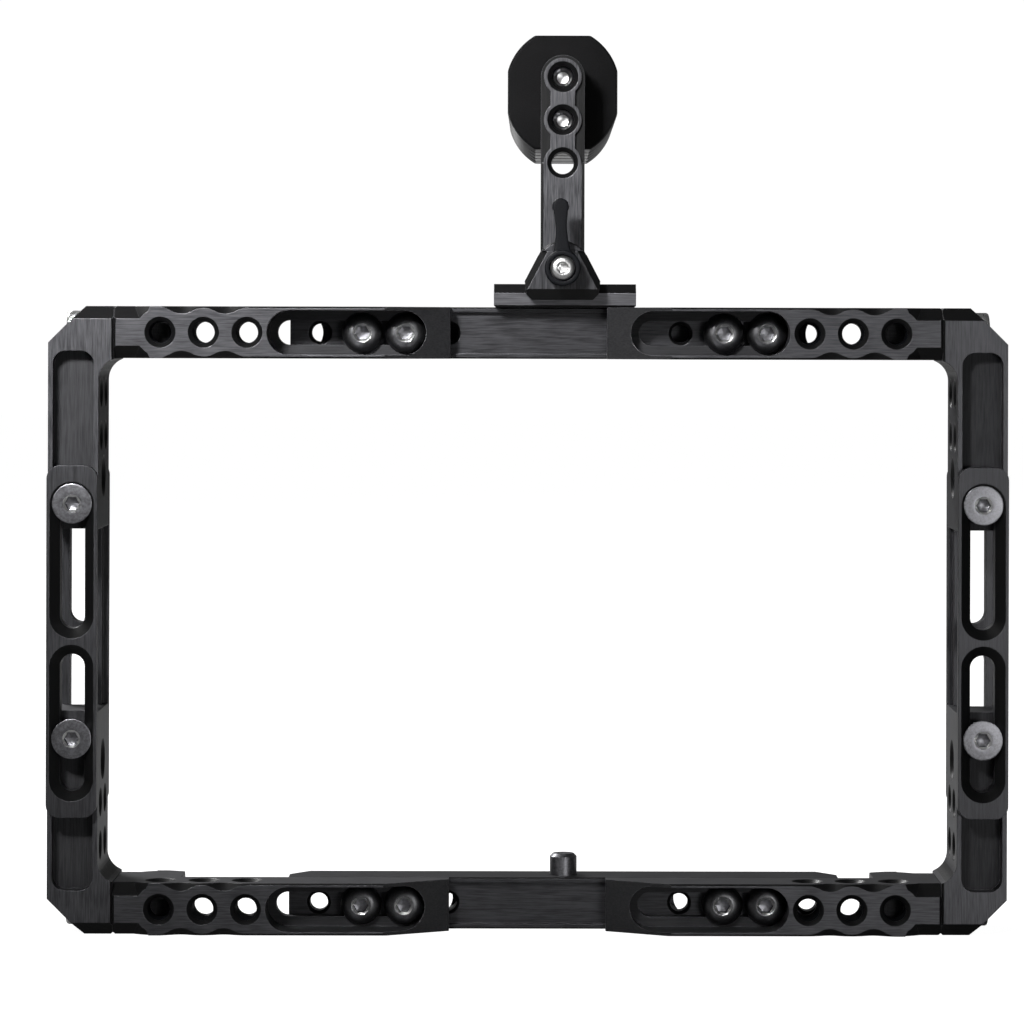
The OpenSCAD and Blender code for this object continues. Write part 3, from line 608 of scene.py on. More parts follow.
def turned(rings: Rings, columns: int = 60) -> np.ndarray:
    """Carries rings along the Y axis to make a turned solid with round or hexagonal rings.

    Each point is the ring's radius times the cosine of its angle in X and times the sine in Z.

    Args:
        rings: Size, place along Y and outline of each ring. The size is a radius, or the width
            across the flats of a hexagon.
        columns: Points round each ring.

    Returns:
        The grid of points, one row to a ring.
    """
    angle = around(columns)
    rows = []
    for size, along, outline in rings:
        radius = hex_radius(angle, size) if outline is Ring.HEX else np.full(columns, size)
        rows.append(np.stack([radius * np.cos(angle), np.full(columns, along),
                              radius * np.sin(angle)], axis=-1))
    return np.stack(rows)


def arc_rings(start: tuple[float, float], end: tuple[float, float], bulge: float,
              steps: int) -> Rings:
    """Gives rings along a bowed line.

    Each ring lies on the straight line plus a parabola of the given height, square to the line.

    Args:
        start: Radius and place of the first ring.
        end: Radius and place of the last ring.
        bulge: The height of the parabola.
        steps: How many rings.

    Returns:
        The rings.
    """
    (r0, y0), (r1, y1) = start, end
    share = np.linspace(0.0, 1.0, steps)
    length = math.hypot(r1 - r0, y1 - y0)
    out_r, out_y = (y1 - y0) / length, (r0 - r1) / length
    rise = 4.0 * bulge * share * (1.0 - share)
    return rounds(*((float(r0 + (r1 - r0) * s + out_r * h), float(y0 + (y1 - y0) * s + out_y * h))
                    for s, h in zip(share, rise)))


def thread(radius: float, depth: float, pitch: float, start: float, end: float,
           columns: int = 32, inward: bool = False) -> np.ndarray:
    """Makes a threaded skin along Y.

    The height of the ridge is a triangle wave of the distance along the axis less one pitch for
    each turn round it, and it fades to nothing over half a pitch at both ends.

    Args:
        radius: Radius at the root, or at the mouth for an inward thread.
        depth: Height of the ridge.
        pitch: Distance from ridge to ridge.
        start: First place along Y.
        end: Last place along Y.
        columns: Points round the axis.
        inward: Whether the ridge points to the axis.

    Returns:
        The grid of points.
    """
    rows = max(3, int(round((end - start) / pitch * THREAD_ROWS)) + 1)
    along = np.linspace(start, end, rows)[:, None]
    angle = around(columns)[None, :]
    phase = np.mod(along / pitch - angle / TURN, 1.0)
    ridge = 1.0 - np.abs(2.0 * phase - 1.0)
    fade = np.clip(np.minimum(along - start, end - along) / (0.5 * pitch), 0.0, 1.0)
    reach = radius + (-depth if inward else depth) * ridge * fade
    return np.stack([reach * np.cos(angle), np.broadcast_to(along, reach.shape),
                     reach * np.sin(angle)], axis=-1)


def threaded(head: np.ndarray, root_r: float, ridge: float, pitch: float, start: float,
             end: float) -> np.ndarray:
    """Carries a turned head on as a threaded shank with a chamfered tip.

    Args:
        head: The grid of the head and the plain shank.
        root_r: Radius at the thread's root.
        ridge: Height of the thread's ridge.
        pitch: Distance from ridge to ridge.
        start: Where the plain shank ends.
        end: Where the screw ends.

    Returns:
        The grid of the whole screw.
    """
    columns = head.shape[1]
    ridges = thread(root_r, ridge, pitch, start + THREAD_GAP, end - TIP_CHAMFER, columns)
    tip = turned(rounds((root_r - TIP_CHAMFER, end), (0.0, end)), columns)
    return np.concatenate([head, ridges, tip])


def shifted(grid: np.ndarray, x: float, y: float, z: float) -> np.ndarray:
    """Returns the grid moved by x, y and z."""
    return grid + np.array([x, y, z])


def facing_back(grid: np.ndarray) -> np.ndarray:
    """Returns the grid turned half round the Z axis, so that +Y becomes -Y."""
    return grid * np.array([-1.0, -1.0, 1.0])


def along_x(grid: np.ndarray) -> np.ndarray:
    """Returns a grid made along Y turned to lie along X."""
    return np.stack([grid[..., 1], -grid[..., 0], grid[..., 2]], axis=-1)


# ---------- the cage's places ----------


@dataclass(frozen=True)
class Cage:
    """The places, in mm, that the sub-assemblies share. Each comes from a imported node's box."""

    left: float
    right: float
    bottom: float
    top: float
    front: float
    rear: float
    bar: float = 12.0

    @classmethod
    def measured(cls) -> "Cage":
        """Reads the corners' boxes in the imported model.

        Returns:
            The cage's places.
        """
        low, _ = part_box("corner_bottom_left")
        _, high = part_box("corner_top_right")
        return cls(low.x / MM, high.x / MM, low.z / MM, high.z / MM, low.y / MM, high.y / MM)

    def side_x(self, side: Side, inwards: float) -> float:
        """Returns the X of a plane that lies a distance inwards from the cage's side."""
        return self.left + inwards if side is Side.LEFT else self.right - inwards

    def level_z(self, level: Level, inwards: float) -> float:
        """Returns the Z of a plane that lies a distance inwards from the top or bottom."""
        return self.top - inwards if level is Level.TOP else self.bottom + inwards

    def bar_z(self, level: Level) -> float:
        """Returns the Z of the axis of the upper or lower bars."""
        return self.level_z(level, self.bar / 2)

    @property
    def middle_y(self) -> float:
        """Returns the Y of the plane half way between front and rear."""
        return (self.front + self.rear) / 2.0


# ---------- fasteners ----------


@dataclass
class ButtonHeads:
    """The eight button head screws that clamp the arms to the rails."""

    cage: Cage
    seat_depth: float = 10.0
    first_x: float = 37.0
    pitch: float = 10.0
    head_r: float = 4.75
    head_h: float = 2.75
    head_bulge: float = 0.62
    socket: float = 3.0
    socket_mouth: float = 2.05
    socket_depth: float = 1.65
    shank_r: float = 2.5
    shank_l: float = 3.4
    root_r: float = 2.05
    ridge: float = 0.4
    thread_pitch: float = 0.8
    length: float = 12.0
    socket_rows: int = 3

    def screw(self) -> tuple[np.ndarray, np.ndarray]:
        """Builds one screw along +Y with its seat at y = 0.

        Returns:
            The grid, and the material number of each row of faces: a grey turned socket whose
            upper wall and rim get the bright polished steel as a painted highlight, in a black
            screw.
        """
        top = -self.head_h
        floor = top + self.socket_depth
        rings = rounds((0.0, floor + 0.35))
        rings += hexes((self.socket * 0.97, floor), (self.socket, floor - 0.1),
                       (self.socket, top + 0.42))
        rings += rounds((self.socket_mouth, top + 0.06), (self.socket_mouth + 0.08, top + 0.01))
        bright = len(rings) - 1
        rings += arc_rings((self.socket_mouth + 0.25, top), (self.head_r - 0.04, -0.35),
                           self.head_bulge, steps=14)
        rings += rounds((self.head_r, -0.2), (self.head_r - 0.05, -0.04),
                        (self.head_r - 0.15, 0.0), (self.shank_r, 0.0),
                        (self.shank_r, self.shank_l))
        grid = threaded(turned(rings), self.root_r, self.ridge, self.thread_pitch, self.shank_l,
                        self.length)
        slots = np.ones(len(grid) - 1, dtype=int)
        # The socket's upper wall and rim get the bright polished steel: a painted highlight round
        # the socket's mouth
        slots[:bright] = 0
        slots[:self.socket_rows] = 2
        return grid, slots

    def build(self, materials: Materials) -> None:
        """Makes each pair in place of its CAD node.

        Args:
            materials: Slot name to material.
        """
        grid, slots = self.screw()
        seat = self.cage.front + self.seat_depth
        for corner in CORNERS:
            pair = Shell()
            for i in (0, 1):
                x = corner.side.value * (self.first_x + i * self.pitch)
                pair.add(shifted(grid, x, seat, self.cage.bar_z(corner.level)), slots)
            pair.piece(f"button_heads_{corner.name}",
                       "top_rail" if corner.level is Level.TOP else "base", "black_screw",
                       [materials["polished_screw"], materials["black_screw"],
                        materials["stainless_screw"]],
                       replaces=[f"arm_screws_{corner.name}"])


@dataclass
class CountersunkScrews:
    """The eight stainless countersunk screws that hold the links."""

    cage: Cage
    from_edge: float = 45.4
    side_in: float = 5.8
    proud: float = 2.3
    head_r: float = 4.7
    shank_r: float = 2.5
    shank_l: float = 6.3
    root_r: float = 2.05
    ridge: float = 0.4
    thread_pitch: float = 0.8
    length: float = 12.0
    socket: float = 3.0
    socket_depth: float = 1.7
    socket_rows: int = 3

    def screw(self) -> tuple[np.ndarray, np.ndarray]:
        """Builds one screw along +Y with the top of its head at y = 0.

        Returns:
            The grid, and the material number of each row of faces: only the socket's rim gets the
            bright polished steel, a painted highlight round its mouth.
        """
        sink = self.head_r - self.shank_r
        floor = self.socket_depth
        rings = rounds((0.0, floor + 0.5))
        rings += hexes((self.socket * 0.96, floor), (self.socket, floor - 0.1),
                       (self.socket, 0.4))
        rings += rounds((1.95, 0.08), (2.05, 0.0))
        bright = len(rings) - 1
        # The head's face, in even steps from the socket's rim outwards
        rings += rounds(*((2.5 + 0.3 * i, -0.02 + 0.01 * i) for i in range(7)))
        rings += rounds((self.head_r - 0.2, 0.05), (self.head_r - 0.12, 0.09),
                        (self.head_r - 0.12, 0.13), (self.head_r - 0.22, 0.24),
                        (self.shank_r, sink), (self.shank_r, self.shank_l))
        grid = threaded(turned(rings), self.root_r, self.ridge, self.thread_pitch, self.shank_l,
                        self.length)
        slots = np.ones(len(grid) - 1, dtype=int)
        # The socket's upper wall and rim get the bright polished steel: a painted highlight round
        # its mouth
        slots[self.socket_rows:bright] = 0
        return grid, slots

    def build(self, materials: Materials) -> None:
        """Makes each pair, front and rear, in place of its CAD node.

        Args:
            materials: Slot name to material.
        """
        grid, slots = self.screw()
        front, rear = self.cage.front - self.proud, self.cage.rear + self.proud
        for corner in CORNERS:
            x = self.cage.side_x(corner.side, self.side_in)
            z = self.cage.level_z(corner.level, self.from_edge)
            pair = Shell().add(shifted(grid, x, front, z), slots)
            pair.add(shifted(facing_back(grid), x, rear, z), slots)
            pair.piece(f"countersunk_screws_{corner.name}", corner.body, "stainless_screw",
                       [materials["polished_screw"], materials["stainless_screw"]],
                       replaces=[f"link_screws_{corner.name}"])


@dataclass
class CornerBolts:
    """The four knurled socket cap bolts that join corner and arm."""

    cage: Cage
    head_from: float = 3.4
    head_l: float = 6.0
    head_r: float = 5.0
    knurl: float = 0.16
    teeth: int = 45
    tooth_columns: int = 4
    band_rows: int = 6
    band_in: float = 0.5
    socket: float = 5.0
    shank_r: float = 3.0
    root_r: float = 2.45
    ridge: float = 0.5
    thread_pitch: float = 1.0
    shank_to: float = 15.0
    end_at: float = 29.4

    def bolt(self) -> tuple[np.ndarray, np.ndarray]:
        """Builds one bolt along +Y, measured from the cage's outer side.

        The knurl is a triangle wave round the head, between two plain bands. The thread has the
        near-black lever finish, which is painted shade for the bore it sits in.

        Returns:
            The grid, and the material number of each row of faces.
        """
        columns = self.teeth * self.tooth_columns
        start, end = self.head_from, self.head_from + self.head_l
        plain = rounds((0.0, start + 3.4))
        plain += hexes((self.socket * 0.95, start + 3.0), (self.socket, start + 2.9),
                       (self.socket, start + 0.3))
        plain += rounds((self.socket * 0.62, start), (self.head_r - 0.45, start),
                        (self.head_r - 0.2, start + 0.12), (self.head_r - 0.1, start + 0.3))
        after = rounds((self.head_r - 0.1, end - 0.3), (self.head_r - 0.1, end),
                       (self.shank_r, end), (self.shank_r, self.shank_to))
        angle = around(columns)
        wave = 1.0 - np.abs(2.0 * np.mod(angle * self.teeth / TURN, 1.0) - 1.0)
        band = np.linspace(start + self.band_in, end - self.band_in, self.band_rows)[:, None]
        reach = np.broadcast_to(self.head_r - self.knurl * wave, (self.band_rows, columns))
        knurled = np.stack([reach * np.cos(angle), np.broadcast_to(band, reach.shape),
                            reach * np.sin(angle)], axis=-1)
        head = np.concatenate([turned(plain, columns), knurled, turned(after, columns)])
        grid = threaded(head, self.root_r, self.ridge, self.thread_pitch, self.shank_to,
                        self.end_at)
        slots = np.zeros(len(grid) - 1, dtype=int)
        # The thread gets the near-black lever finish: painted shade inside the bore
        slots[len(head):] = 1
        return grid, slots

    def build(self, materials: Materials) -> None:
        """Makes each bolt in place of its CAD node.

        Args:
            materials: Slot name to material.
        """
        bolt, slots = self.bolt()
        rightwards = along_x(bolt)
        for corner in CORNERS:
            grid = rightwards if corner.side is Side.LEFT else facing_back(rightwards)
            place = (self.cage.side_x(corner.side, 0.0), self.cage.middle_y,
                     self.cage.bar_z(corner.level))
            Shell().add(shifted(grid, *place), slots).piece(
                f"knurled_bolt_{corner.name}", corner.body, "stainless_bolt",
                [materials["stainless_bolt"], materials["lever_finish"]], sharp_deg=50.0,
                replaces=[f"corner_bolt_{corner.name}"])


# ---------- handle clamp ----------


@dataclass
class LeverClamp:
    """The lever, its small screw, the jaw's round top and the spring behind the jaw."""

    centre_x: float = -0.6
    axis_z: float = 141.8
    hub_r: float = 4.15
    hub_front: float = -20.35
    hub_l: float = 4.8
    recess_r: float = 3.1
    recess: float = 1.0
    arm_front: float = -19.55
    arm_t: float = 2.8
    arm_rows: int = 90
    arm_columns: int = 48
    squareness: float = 0.3
    tip_at: float = 14.1
    tip_r: float = 1.97
    waist_at: float = 9.2
    waist_half: float = 1.33
    waist_r: float = 20.0
    tilt_deg: float = -2.0
    screw_h: float = 1.65
    screw_r: float = 2.85
    screw_bulge: float = 0.38
    screw_socket: float = 2.0
    screw_shank_r: float = 1.5
    screw_l: float = 6.0
    spring_r: float = 2.9
    spring_from: float = -8.4
    spring_to: float = -4.6
    wire_r: float = 0.6
    wire_columns: int = 14
    turns: float = 3.0
    turn_rows: int = 40
    crown_r: float = 6.3
    crown_t: float = 6.0
    crown_edge: float = 0.35
    crown_columns: int = 49

    def crown(self) -> np.ndarray:
        """Builds the jaw's round top, a slice of a disc about the lever's axis.

        Each row is the slice's outline at one depth: an arc from one corner to the other, closed
        by a straight foot. The front edge is chamfered, which gives the pale line round it.

        Returns:
            The grid of points.
        """
        low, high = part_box("clamp_jaw")
        rise = high.z / MM - self.axis_z
        rows = []
        for y, inset in ((0.0, TO_CENTRE), (0.0, self.crown_edge), (self.crown_edge, 0.0),
                         (self.crown_t, 0.0), (self.crown_t, TO_CENTRE)):
            radius = max(self.crown_r - inset, rise + SMALL)
            reach = math.acos(rise / radius)
            angle = np.linspace(-reach, reach, self.crown_columns)
            x, z = radius * np.sin(angle), radius * np.cos(angle)
            if inset == TO_CENTRE:
                x, z = np.zeros_like(x), np.full_like(z, rise)
            rows.append(np.stack([self.centre_x + x, np.full_like(x, low.y / MM + y),
                                  self.axis_z + z], axis=-1))
        return np.stack(rows)

    def tilted(self, points: np.ndarray) -> np.ndarray:
        """Turns points with the lever about its axis and puts them in their place.

        Args:
            points: Points about the lever's axis at the origin.

        Returns:
            The points in the cage.
        """
        angle = math.radians(self.tilt_deg)
        x, y, z = points[..., 0], points[..., 1], points[..., 2]
        return np.stack([self.centre_x + x * math.cos(angle) + z * math.sin(angle), y,
                         self.axis_z - x * math.sin(angle) + z * math.cos(angle)], axis=-1)

    def half_width(self, height: np.ndarray) -> np.ndarray:
        """Gives half of the lever's width at each height above its axis.

        Below the waist's arc it is the hub's circle, above it the tip's circle, and between
        them the arc that is hollow towards the middle.

        Args:
            height: Heights above the axis.

        Returns:
            Half of the width at each height.
        """
        arc = self.waist_half + self.waist_r - np.sqrt(
            np.maximum(self.waist_r ** 2 - (height - self.waist_at) ** 2, 0.0))
        hub = np.sqrt(np.maximum(self.hub_r ** 2 - height ** 2, 0.0))
        tip = np.sqrt(np.maximum(self.tip_r ** 2 - (height - self.tip_at) ** 2, 0.0))
        neck = np.where((height > 0.0) & (height < self.tip_at), np.minimum(arc, self.hub_r), 0.0)
        return np.maximum(np.maximum(hub, tip), neck)

    def arm(self) -> np.ndarray:
        """Builds the lever's flat arm as sections of a rounded bar, one row to a height.

        A section is a squared circle: the sine and cosine are raised to a small power, so that
        the sides are flat and the corners round. Rows lie closest together at both ends.

        Returns:
            The grid of points.
        """
        bend = np.linspace(0.0, math.pi, self.arm_rows)
        low, high = -self.hub_r, self.tip_at + self.tip_r
        height = (low + high) / 2.0 - (high - low) / 2.0 * np.cos(bend)
        half = np.maximum(self.half_width(height), SMALL)[:, None]
        angle = around(self.arm_columns)[None, :]
        round_x = np.sign(np.cos(angle)) * np.abs(np.cos(angle)) ** self.squareness
        round_y = np.sign(np.sin(angle)) * np.abs(np.sin(angle)) ** self.squareness
        thick = self.arm_t / 2.0
        middle = self.arm_front + thick
        x = half * round_x
        y = middle + thick * round_y * np.ones_like(half)
        return np.stack([x, y, np.broadcast_to(height[:, None], x.shape)], axis=-1)

    def hub(self) -> np.ndarray:
        """Builds the hub with its rounded rim and the screw's recess.

        Returns:
            The grid of points.
        """
        front, back = self.hub_front, self.hub_front + self.hub_l
        floor, inner, outer = front + self.recess, self.recess_r, self.hub_r
        return turned(rounds(
            (0.0, floor), (inner - 0.1, floor), (inner, floor - 0.1), (inner, front + 0.12),
            (inner + 0.06, front + 0.03), (inner + 0.15, front), (outer - 0.45, front),
            (outer - 0.2, front + 0.06), (outer - 0.06, front + 0.2), (outer, front + 0.45),
            (outer, back - 0.2), (outer - 0.2, back), (0.0, back)), columns=72)

    def screw(self) -> np.ndarray:
        """Builds the small button head screw that holds the lever on the draw bolt.

        Returns:
            The grid of points.
        """
        seat = self.hub_front + self.recess
        top, end = seat - self.screw_h, seat + self.screw_l
        rings = rounds((0.0, top + 1.2))
        rings += hexes((self.screw_socket - 0.05, top + 1.05), (self.screw_socket, top + 0.3))
        rings += rounds((1.35, top + 0.04), (1.45, top))
        rings += arc_rings((1.6, top), (self.screw_r - 0.02, seat - 0.25), self.screw_bulge,
                           steps=10)
        rings += rounds((self.screw_r, seat - 0.12), (self.screw_r - 0.05, seat),
                        (self.screw_shank_r, seat), (self.screw_shank_r, end - 0.5), (0.0, end))
        return turned(rings)

    def coil(self) -> np.ndarray:
        """Builds the coil spring: a wire's circle carried along a helix about the draw bolt.

        The wire's centre turns round the axis while it moves along it by one share of the length
        for each share of the turns. Both ends close on their centre points.

        Returns:
            The grid of points.
        """
        steps = int(self.turn_rows * self.turns)
        turn = np.linspace(0.0, TURN * self.turns, steps)[:, None]
        wire = around(self.wire_columns)[None, :]
        size = np.full((steps, 1), self.wire_r)
        size[0] = size[-1] = 0.0
        reach = self.spring_r + size * np.cos(wire)
        along = self.spring_from + (self.spring_to - self.spring_from) * turn / turn[-1]
        y = along + size * np.sin(wire)
        return np.stack([reach * np.cos(turn) + self.centre_x, y,
                         reach * np.sin(turn) + self.axis_z], axis=-1)

    def build(self, materials: Materials) -> None:
        """Makes the lever, its screw and the spring for their CAD nodes, and the jaw's top.

        Args:
            materials: Slot name to material.
        """
        lever = Shell().add(self.arm()).add(self.hub()).move(self.tilted)
        lever.piece("lever_rounded", "lever", "lever_finish", [materials["lever_finish"]],
                    replaces=["clamp_lever"])
        Shell().add(self.screw()).move(self.tilted).piece(
            "lever_button_screw", "lever", "polished_screw", [materials["polished_screw"]],
            replaces=["lever_screw"])
        Shell().add(self.crown()).piece("jaw_round_top", "jaw", "anodised_jaw",
                                        [materials["anodised_jaw"]], sharp_deg=25.0)
        Shell().add(self.coil()).piece("jaw_coil_spring", "handle", "spring_steel",
                                       [materials["spring_steel"]], sharp_deg=60.0,
                                       replaces=["jaw_spring"])


# ---------- grip ----------


@dataclass
class Grip:
    """The moulded grip and the two screws that hold it on the post."""

    centre_x: float = -0.6
    centre_z: float = 183.4
    front: float = 2.96
    length: float = 88.0
    half_w: float = 12.9
    half_h: float = 13.4
    corner_r: float = 14.0
    off_x: float = 0.6
    off_z: float = 1.32
    front_round: float = 0.6
    end_round: float = 1.6
    rows: int = 260
    end_rows: int = 8
    columns: int = 192
    grooves: int = 4
    groove_r: float = 1.6
    groove_sink: float = 0.53
    groove_pitch: float = 17.0
    groove_offset: float = 2.0
    screw_zs: tuple[float, float] = (186.4, 176.4)
    screw_front: float = -7.0
    screw_r: float = 2.55
    screw_l: float = 22.0

    def section(self, angle: np.ndarray) -> np.ndarray:
        """Gives the distance from the grip's axis to its skin at each angle.

        It is the least of three: the side flat, the top or bottom flat, and the round corner,
        whose centre lies off the axis. The last is the root of a line through a circle.

        Args:
            angle: Angles about the grip's axis.

        Returns:
            The distance at each angle.
        """
        cos, sin = np.cos(angle), np.sin(angle)
        flat_x = self.half_w / np.maximum(np.abs(cos), 1e-6)
        flat_z = self.half_h / np.maximum(np.abs(sin), 1e-6)
        cx, cz = -np.sign(cos) * self.off_x, np.sign(sin) * self.off_z
        near = cos * cx + sin * cz
        arc = near + np.sqrt(self.corner_r ** 2 - (cx ** 2 + cz ** 2) + near ** 2)
        return np.minimum(np.minimum(flat_x, flat_z), arc)

    def skin(self) -> np.ndarray:
        """Builds the grip's skin, with rounded ends and finger grooves across its underside.

        The ends draw in by a quarter circle. A groove is the top of a circle set below the
        underside, which lifts the lowest points to a floor.

        Returns:
            The grid of points.
        """
        angle = around(self.columns)[None, :]
        reach = self.section(angle)
        body = np.linspace(self.front_round, self.length - self.end_round, self.rows)
        ends = np.linspace(0.0, math.pi / 2, self.end_rows)
        front = self.front_round - self.front_round * np.cos(ends[:-1])
        rear = self.length - self.end_round + self.end_round * np.sin(ends[1:])
        along = np.concatenate([front[:1], front, body, rear, rear[-1:]])
        inset = np.concatenate([[TO_CENTRE],
                                self.front_round - self.front_round * np.sin(ends[:-1]),
                                np.zeros(len(body)),
                                self.end_round - self.end_round * np.cos(ends[1:]), [TO_CENTRE]])
        radius = np.maximum(reach - inset[:, None], 0.0)
        x, z = radius * np.cos(angle), radius * np.sin(angle)
        middle = np.arange(1, self.grooves + 1) * self.groove_pitch + self.groove_offset
        gap = np.abs(along[:, None] - middle[None, :]).min(axis=1)
        dip = np.sqrt(np.maximum(self.groove_r ** 2 - gap ** 2, 0.0)) - self.groove_sink
        floor = (-self.half_h + np.maximum(dip, 0.0))[:, None]
        y = self.front + along[:, None] * np.ones_like(x)
        return np.stack([self.centre_x + x, y, self.centre_z + np.maximum(z, floor)], axis=-1)

    def screw(self) -> tuple[np.ndarray, np.ndarray]:
        """Builds a grip screw along +Y, with a cupped socket in its front end.

        Returns:
            The grid, and the material number of each row of faces: the cup's floor gets the bright
            polished steel, a painted highlight, and the rest is blackened.
        """
        rings = rounds((0.0, 3.2), (1.35, 2.8), (1.75, 2.2), (1.95, 1.2), (2.05, 0.5),
                       (2.2, 0.12), (2.35, 0.0), (self.screw_r, 0.2),
                       (self.screw_r, self.screw_l - TIP_CHAMFER),
                       (self.screw_r - TIP_CHAMFER, self.screw_l), (0.0, self.screw_l))
        slots = np.ones(len(rings) - 1, dtype=int)
        # The cup's floor gets the bright polished steel: a painted highlight in the cup
        slots[0] = 0
        return turned(rings, columns=48), slots

    def build(self, materials: Materials) -> None:
        """Makes the grip and its screws in place of their CAD nodes.

        Args:
            materials: Slot name to material.
        """
        Shell().add(self.skin()).piece("grip_moulded", "handle", "grip_rubber",
                                       [materials["grip_rubber"]], replaces=["grip_sleeve"])
        grid, slots = self.screw()
        pair = Shell()
        for z in self.screw_zs:
            pair.add(shifted(grid, self.centre_x, self.screw_front, z), slots)
        pair.piece("grip_screws_cupped", "handle", "polished_screw",
                   [materials["polished_screw"], materials["black_screw"]],
                   replaces=["grip_screws"])


# ---------- threads ----------


@dataclass
class Threads:
    """Thread ridges in the arms' accessory holes, the first of which is blind."""

    cage: Cage
    holes: int = 3
    bore_r: float = 2.62
    ridge: float = 0.2
    pitch: float = 1.27
    first: float = 25.7
    step: float = 10.0
    blind: float = 8.0
    margin: float = 0.9

    def build(self, materials: Materials) -> None:
        """Makes the threads of each arm.

        Args:
            materials: Slot name to material.
        """
        for corner in CORNERS:
            shell = Shell()
            for i in range(self.holes):
                reach = self.blind if i == 0 else self.cage.bar
                ridges = thread(self.bore_r, self.ridge, self.pitch, self.margin,
                                reach - self.margin, inward=True)
                x = self.cage.side_x(corner.side, self.first + i * self.step)
                shell.add(shifted(ridges, x, self.cage.front, self.cage.bar_z(corner.level)))
            shell.piece(f"hole_threads_{corner.name}", corner.body, "anodised_arm",
                        [materials["lever_finish"]], sharp_deg=60.0)


# ---------- CAD nodes ----------


# The dovetail gets a paler copy of the bars' finish: painted light, standing in for the light that
# its sliding faces catch
OWN_FINISH = {"dovetail_rail": "anodised_dovetail"}


def dress_nodes(materials: Materials) -> None:
    """Gives each CAD node the finish of its slot in the record, or its own.

    Args:
        materials: Slot name to material.
    """
    for entry in frame["record"]["subparts"]:
        node = frame["nodes"][entry["node"]]
        node.data.materials.clear()
        finish = OWN_FINISH.get(entry["node"], entry["material_slot"])
        node.data.materials.append(materials[finish])


# ---------- studio ----------


@dataclass(frozen=True)
class SoftBox:
    """A rectangular area light, placed and aimed in millimetres."""

    name: str
    place: tuple[float, float, float]
    aim: tuple[float, float, float]
    wide: float
    high: float
    watts: float
    spread_deg: float = 180.0

    def build(self) -> None:
        """Makes the light."""
        data = bpy.data.lights.new(self.name, "AREA")
        data.shape = "RECTANGLE"
        data.size, data.size_y = self.wide * MM, self.high * MM
        data.energy = self.watts
        data.spread = math.radians(self.spread_deg)
        lamp = bpy.data.objects.new(self.name, data)
        lamp.matrix_world = looking(self.place, self.aim)
        lamp.visible_camera = False
        bpy.context.scene.collection.objects.link(lamp)


# Name, place, aim, width, height, power and spread of each light
LIGHTS = (
    SoftBox("key_left", (-240.0, -500.0, 420.0), (-70.0, 0.0, 160.0), 120.0, 90.0, 0.35, 36.0),
    SoftBox("key_right", (-160.0, -560.0, 430.0), (110.0, 0.0, 90.0), 120.0, 90.0, 0.03, 40.0),
    SoftBox("front_fill", (330.0, -900.0, 50.0), (120.0, 0.0, -10.0), 240.0, 90.0, 0.17, 60.0),
    SoftBox("grip_left", (-480.0, 260.0, 60.0), (-5.0, 55.0, 200.0), 70.0, 70.0, 0.12, 14.0),
    SoftBox("grip_right", (480.0, 260.0, 60.0), (5.0, 55.0, 200.0), 70.0, 70.0, 0.12, 14.0),
    SoftBox("rear_soft_box", (-700.0, 900.0, 1100.0), (0.0, 0.0, 80.0), 500.0, 400.0, 22.0),
)


def placed(right: np.ndarray, up: np.ndarray, ahead: np.ndarray, eye: np.ndarray) -> Matrix:
    """Returns the matrix of something at an eye, in metres, from its three directions."""
    rows = np.column_stack([right, up, -ahead, eye])
    return Matrix([*rows.tolist(), [0.0, 0.0, 0.0, 1.0]])


def looking(place: Sequence[float], aim: Sequence[float]) -> Matrix:
    """Gives the matrix of something at a place that looks at an aim, kept upright.

    Args:
        place: Where it is, in mm.
        aim: What it looks at, in mm.

    Returns:
        The matrix.
    """
    eye = np.array(place) * MM
    ahead = np.array(aim) * MM - eye
    ahead = ahead / np.linalg.norm(ahead)
    right = np.cross(ahead, np.array([0.0, 0.0, 1.0]))
    right = right / np.linalg.norm(right)
    return placed(right, np.cross(right, ahead), ahead, eye)


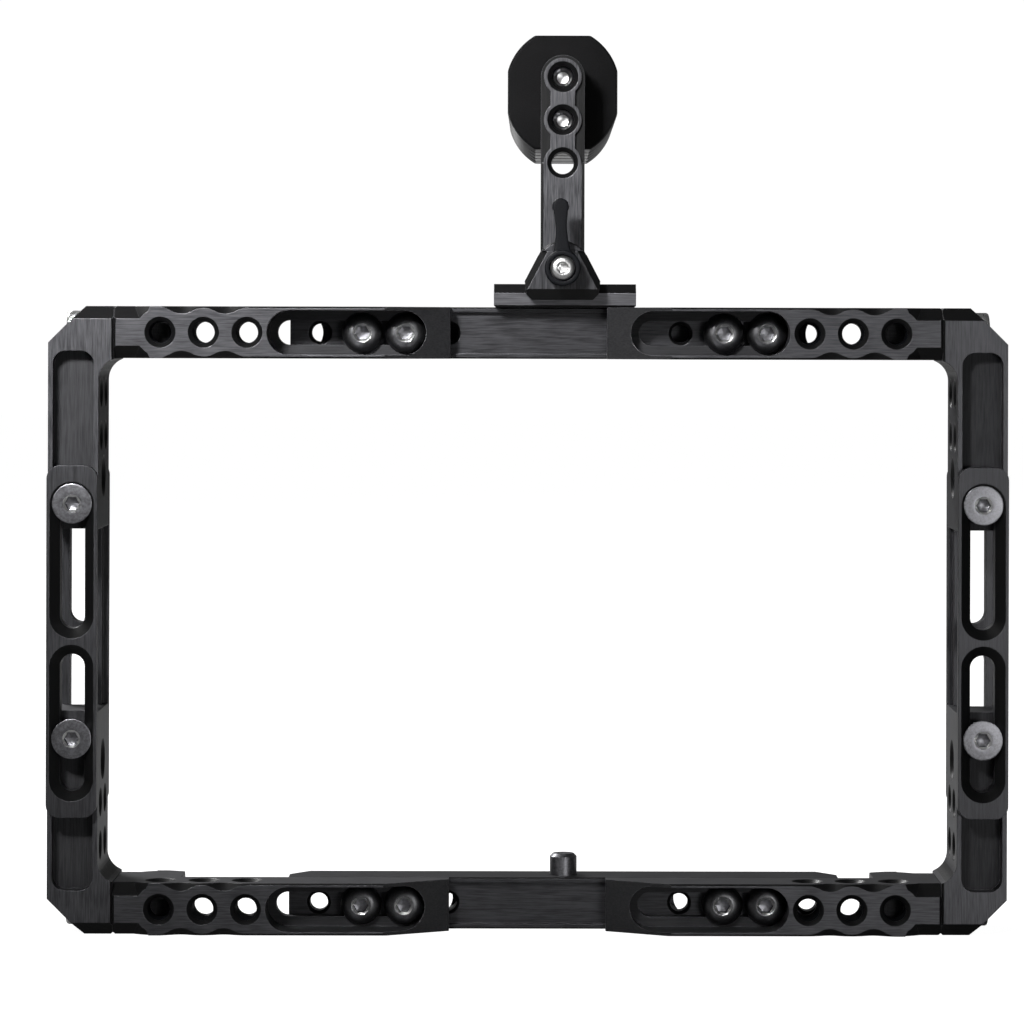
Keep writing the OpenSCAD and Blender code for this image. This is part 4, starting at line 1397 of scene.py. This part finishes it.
@dataclass(frozen=True)
class Studio:
    """The camera, the pale floor and the soft lights."""

    cage: Cage
    eye: tuple[float, float, float] = (-5.57, -998.0, 127.09)
    yaw_deg: float = 0.379
    roll_deg: float = 0.152
    lens_mm: float = 149.69
    sensor_mm: float = 36.0
    far_m: float = 100.0
    shift_x: float = -0.0557
    shift_y: float = -0.1758
    floor_half: float = 6000.0
    dark_room: float = 0.06
    rear_wall: float = 0.09
    wall_limits: tuple[float, float] = (0.1, 0.8)
    backdrop: float = 1.02
    glow: float = 0.98

    def camera(self) -> None:
        """Places the camera where the photograph was taken from."""
        data = bpy.data.cameras.new("camera")
        data.lens, data.sensor_width, data.clip_end = self.lens_mm, self.sensor_mm, self.far_m
        data.shift_x, data.shift_y = self.shift_x, self.shift_y
        yaw, roll = math.radians(self.yaw_deg), math.radians(self.roll_deg)
        ahead = np.array([math.sin(yaw), math.cos(yaw), 0.0])
        level = np.array([math.cos(yaw), -math.sin(yaw), 0.0])
        above = np.array([0.0, 0.0, 1.0])
        right = math.cos(roll) * level + math.sin(roll) * above
        up = math.cos(roll) * above - math.sin(roll) * level
        camera = bpy.data.objects.new("camera", data)
        camera.matrix_world = placed(right, up, ahead, np.array(self.eye) * MM)
        bpy.context.scene.collection.objects.link(camera)
        bpy.context.scene.camera = camera

    def floor(self) -> None:
        """Lays the floor that the cage stands on, as one wide pale sheet."""
        half = self.floor_half
        corners = np.array([[-half, -half], [half, -half], [half, half], [-half, half]])
        points = np.column_stack([corners, np.full(4, self.cage.bottom)]) * MM
        mesh = bpy.data.meshes.new("floor")
        mesh.from_pydata(points, [], [(0, 1, 2, 3)])
        paper = Finish("floor_paper", "#9a9a9a", "#ffffff", 0.9)
        material, tree, shader = paper.start()
        shader.inputs["Base Color"].default_value = srgb(paper.base)
        shader.inputs["Specular IOR Level"].default_value = 0.0
        shader.inputs["Emission Color"].default_value = srgb(paper.light)
        path = add_node(tree, "LightPath").outputs["Is Camera Ray"]
        glow = math_node(tree, "MULTIPLY", path, self.glow)
        tree.links.new(glow, shader.inputs["Emission Strength"])
        mesh.materials.append(material)
        floor = bpy.data.objects.new("floor", mesh)
        bpy.context.scene.collection.objects.link(floor)

    def world(self) -> None:
        """Fills the room with weak even light, behind which the backdrop shows white."""
        world = bpy.data.worlds.new("studio")
        world.use_nodes = True
        tree = world.node_tree
        tree.nodes.clear()
        place = add_node(tree, "TexCoord").outputs["Generated"]
        ahead = add_node(tree, "SeparateXYZ", None, {0: place}).outputs[1]
        room = ramp(tree, ahead, self.wall_limits, (self.dark_room, self.rear_wall))
        path = add_node(tree, "LightPath").outputs["Is Camera Ray"]
        strength = add_node(tree, "Mix", None, {"Factor": path, 2: room, 3: self.backdrop})
        back = add_node(tree, "Background", None,
                        {"Color": srgb("#ffffff"), "Strength": strength.outputs[0]})
        add_node(tree, "OutputWorld", None, {"Surface": back.outputs[0]})
        bpy.context.scene.world = world

    def build(self) -> None:
        """Builds the studio."""
        self.camera()
        self.floor()
        self.world()
        bpy.context.scene.view_settings.view_transform = "Standard"
        for lamp in LIGHTS:
            lamp.build()


def main() -> None:
    """Builds every sub-assembly in order and reports each piece."""
    logging.basicConfig(level=logging.INFO, format="%(name)s: %(message)s")
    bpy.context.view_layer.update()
    cage = Cage.measured()
    Studio(cage).build()
    materials = Finishes().materials()
    dress_nodes(materials)
    for assembly in (ButtonHeads(cage), CountersunkScrews(cage), CornerBolts(cage),
                     LeverClamp(), Grip(), Threads(cage)):
        assembly.build(materials)
        LOG.info("%s done", type(assembly).__name__)


if __name__ == "__main__":
    main()
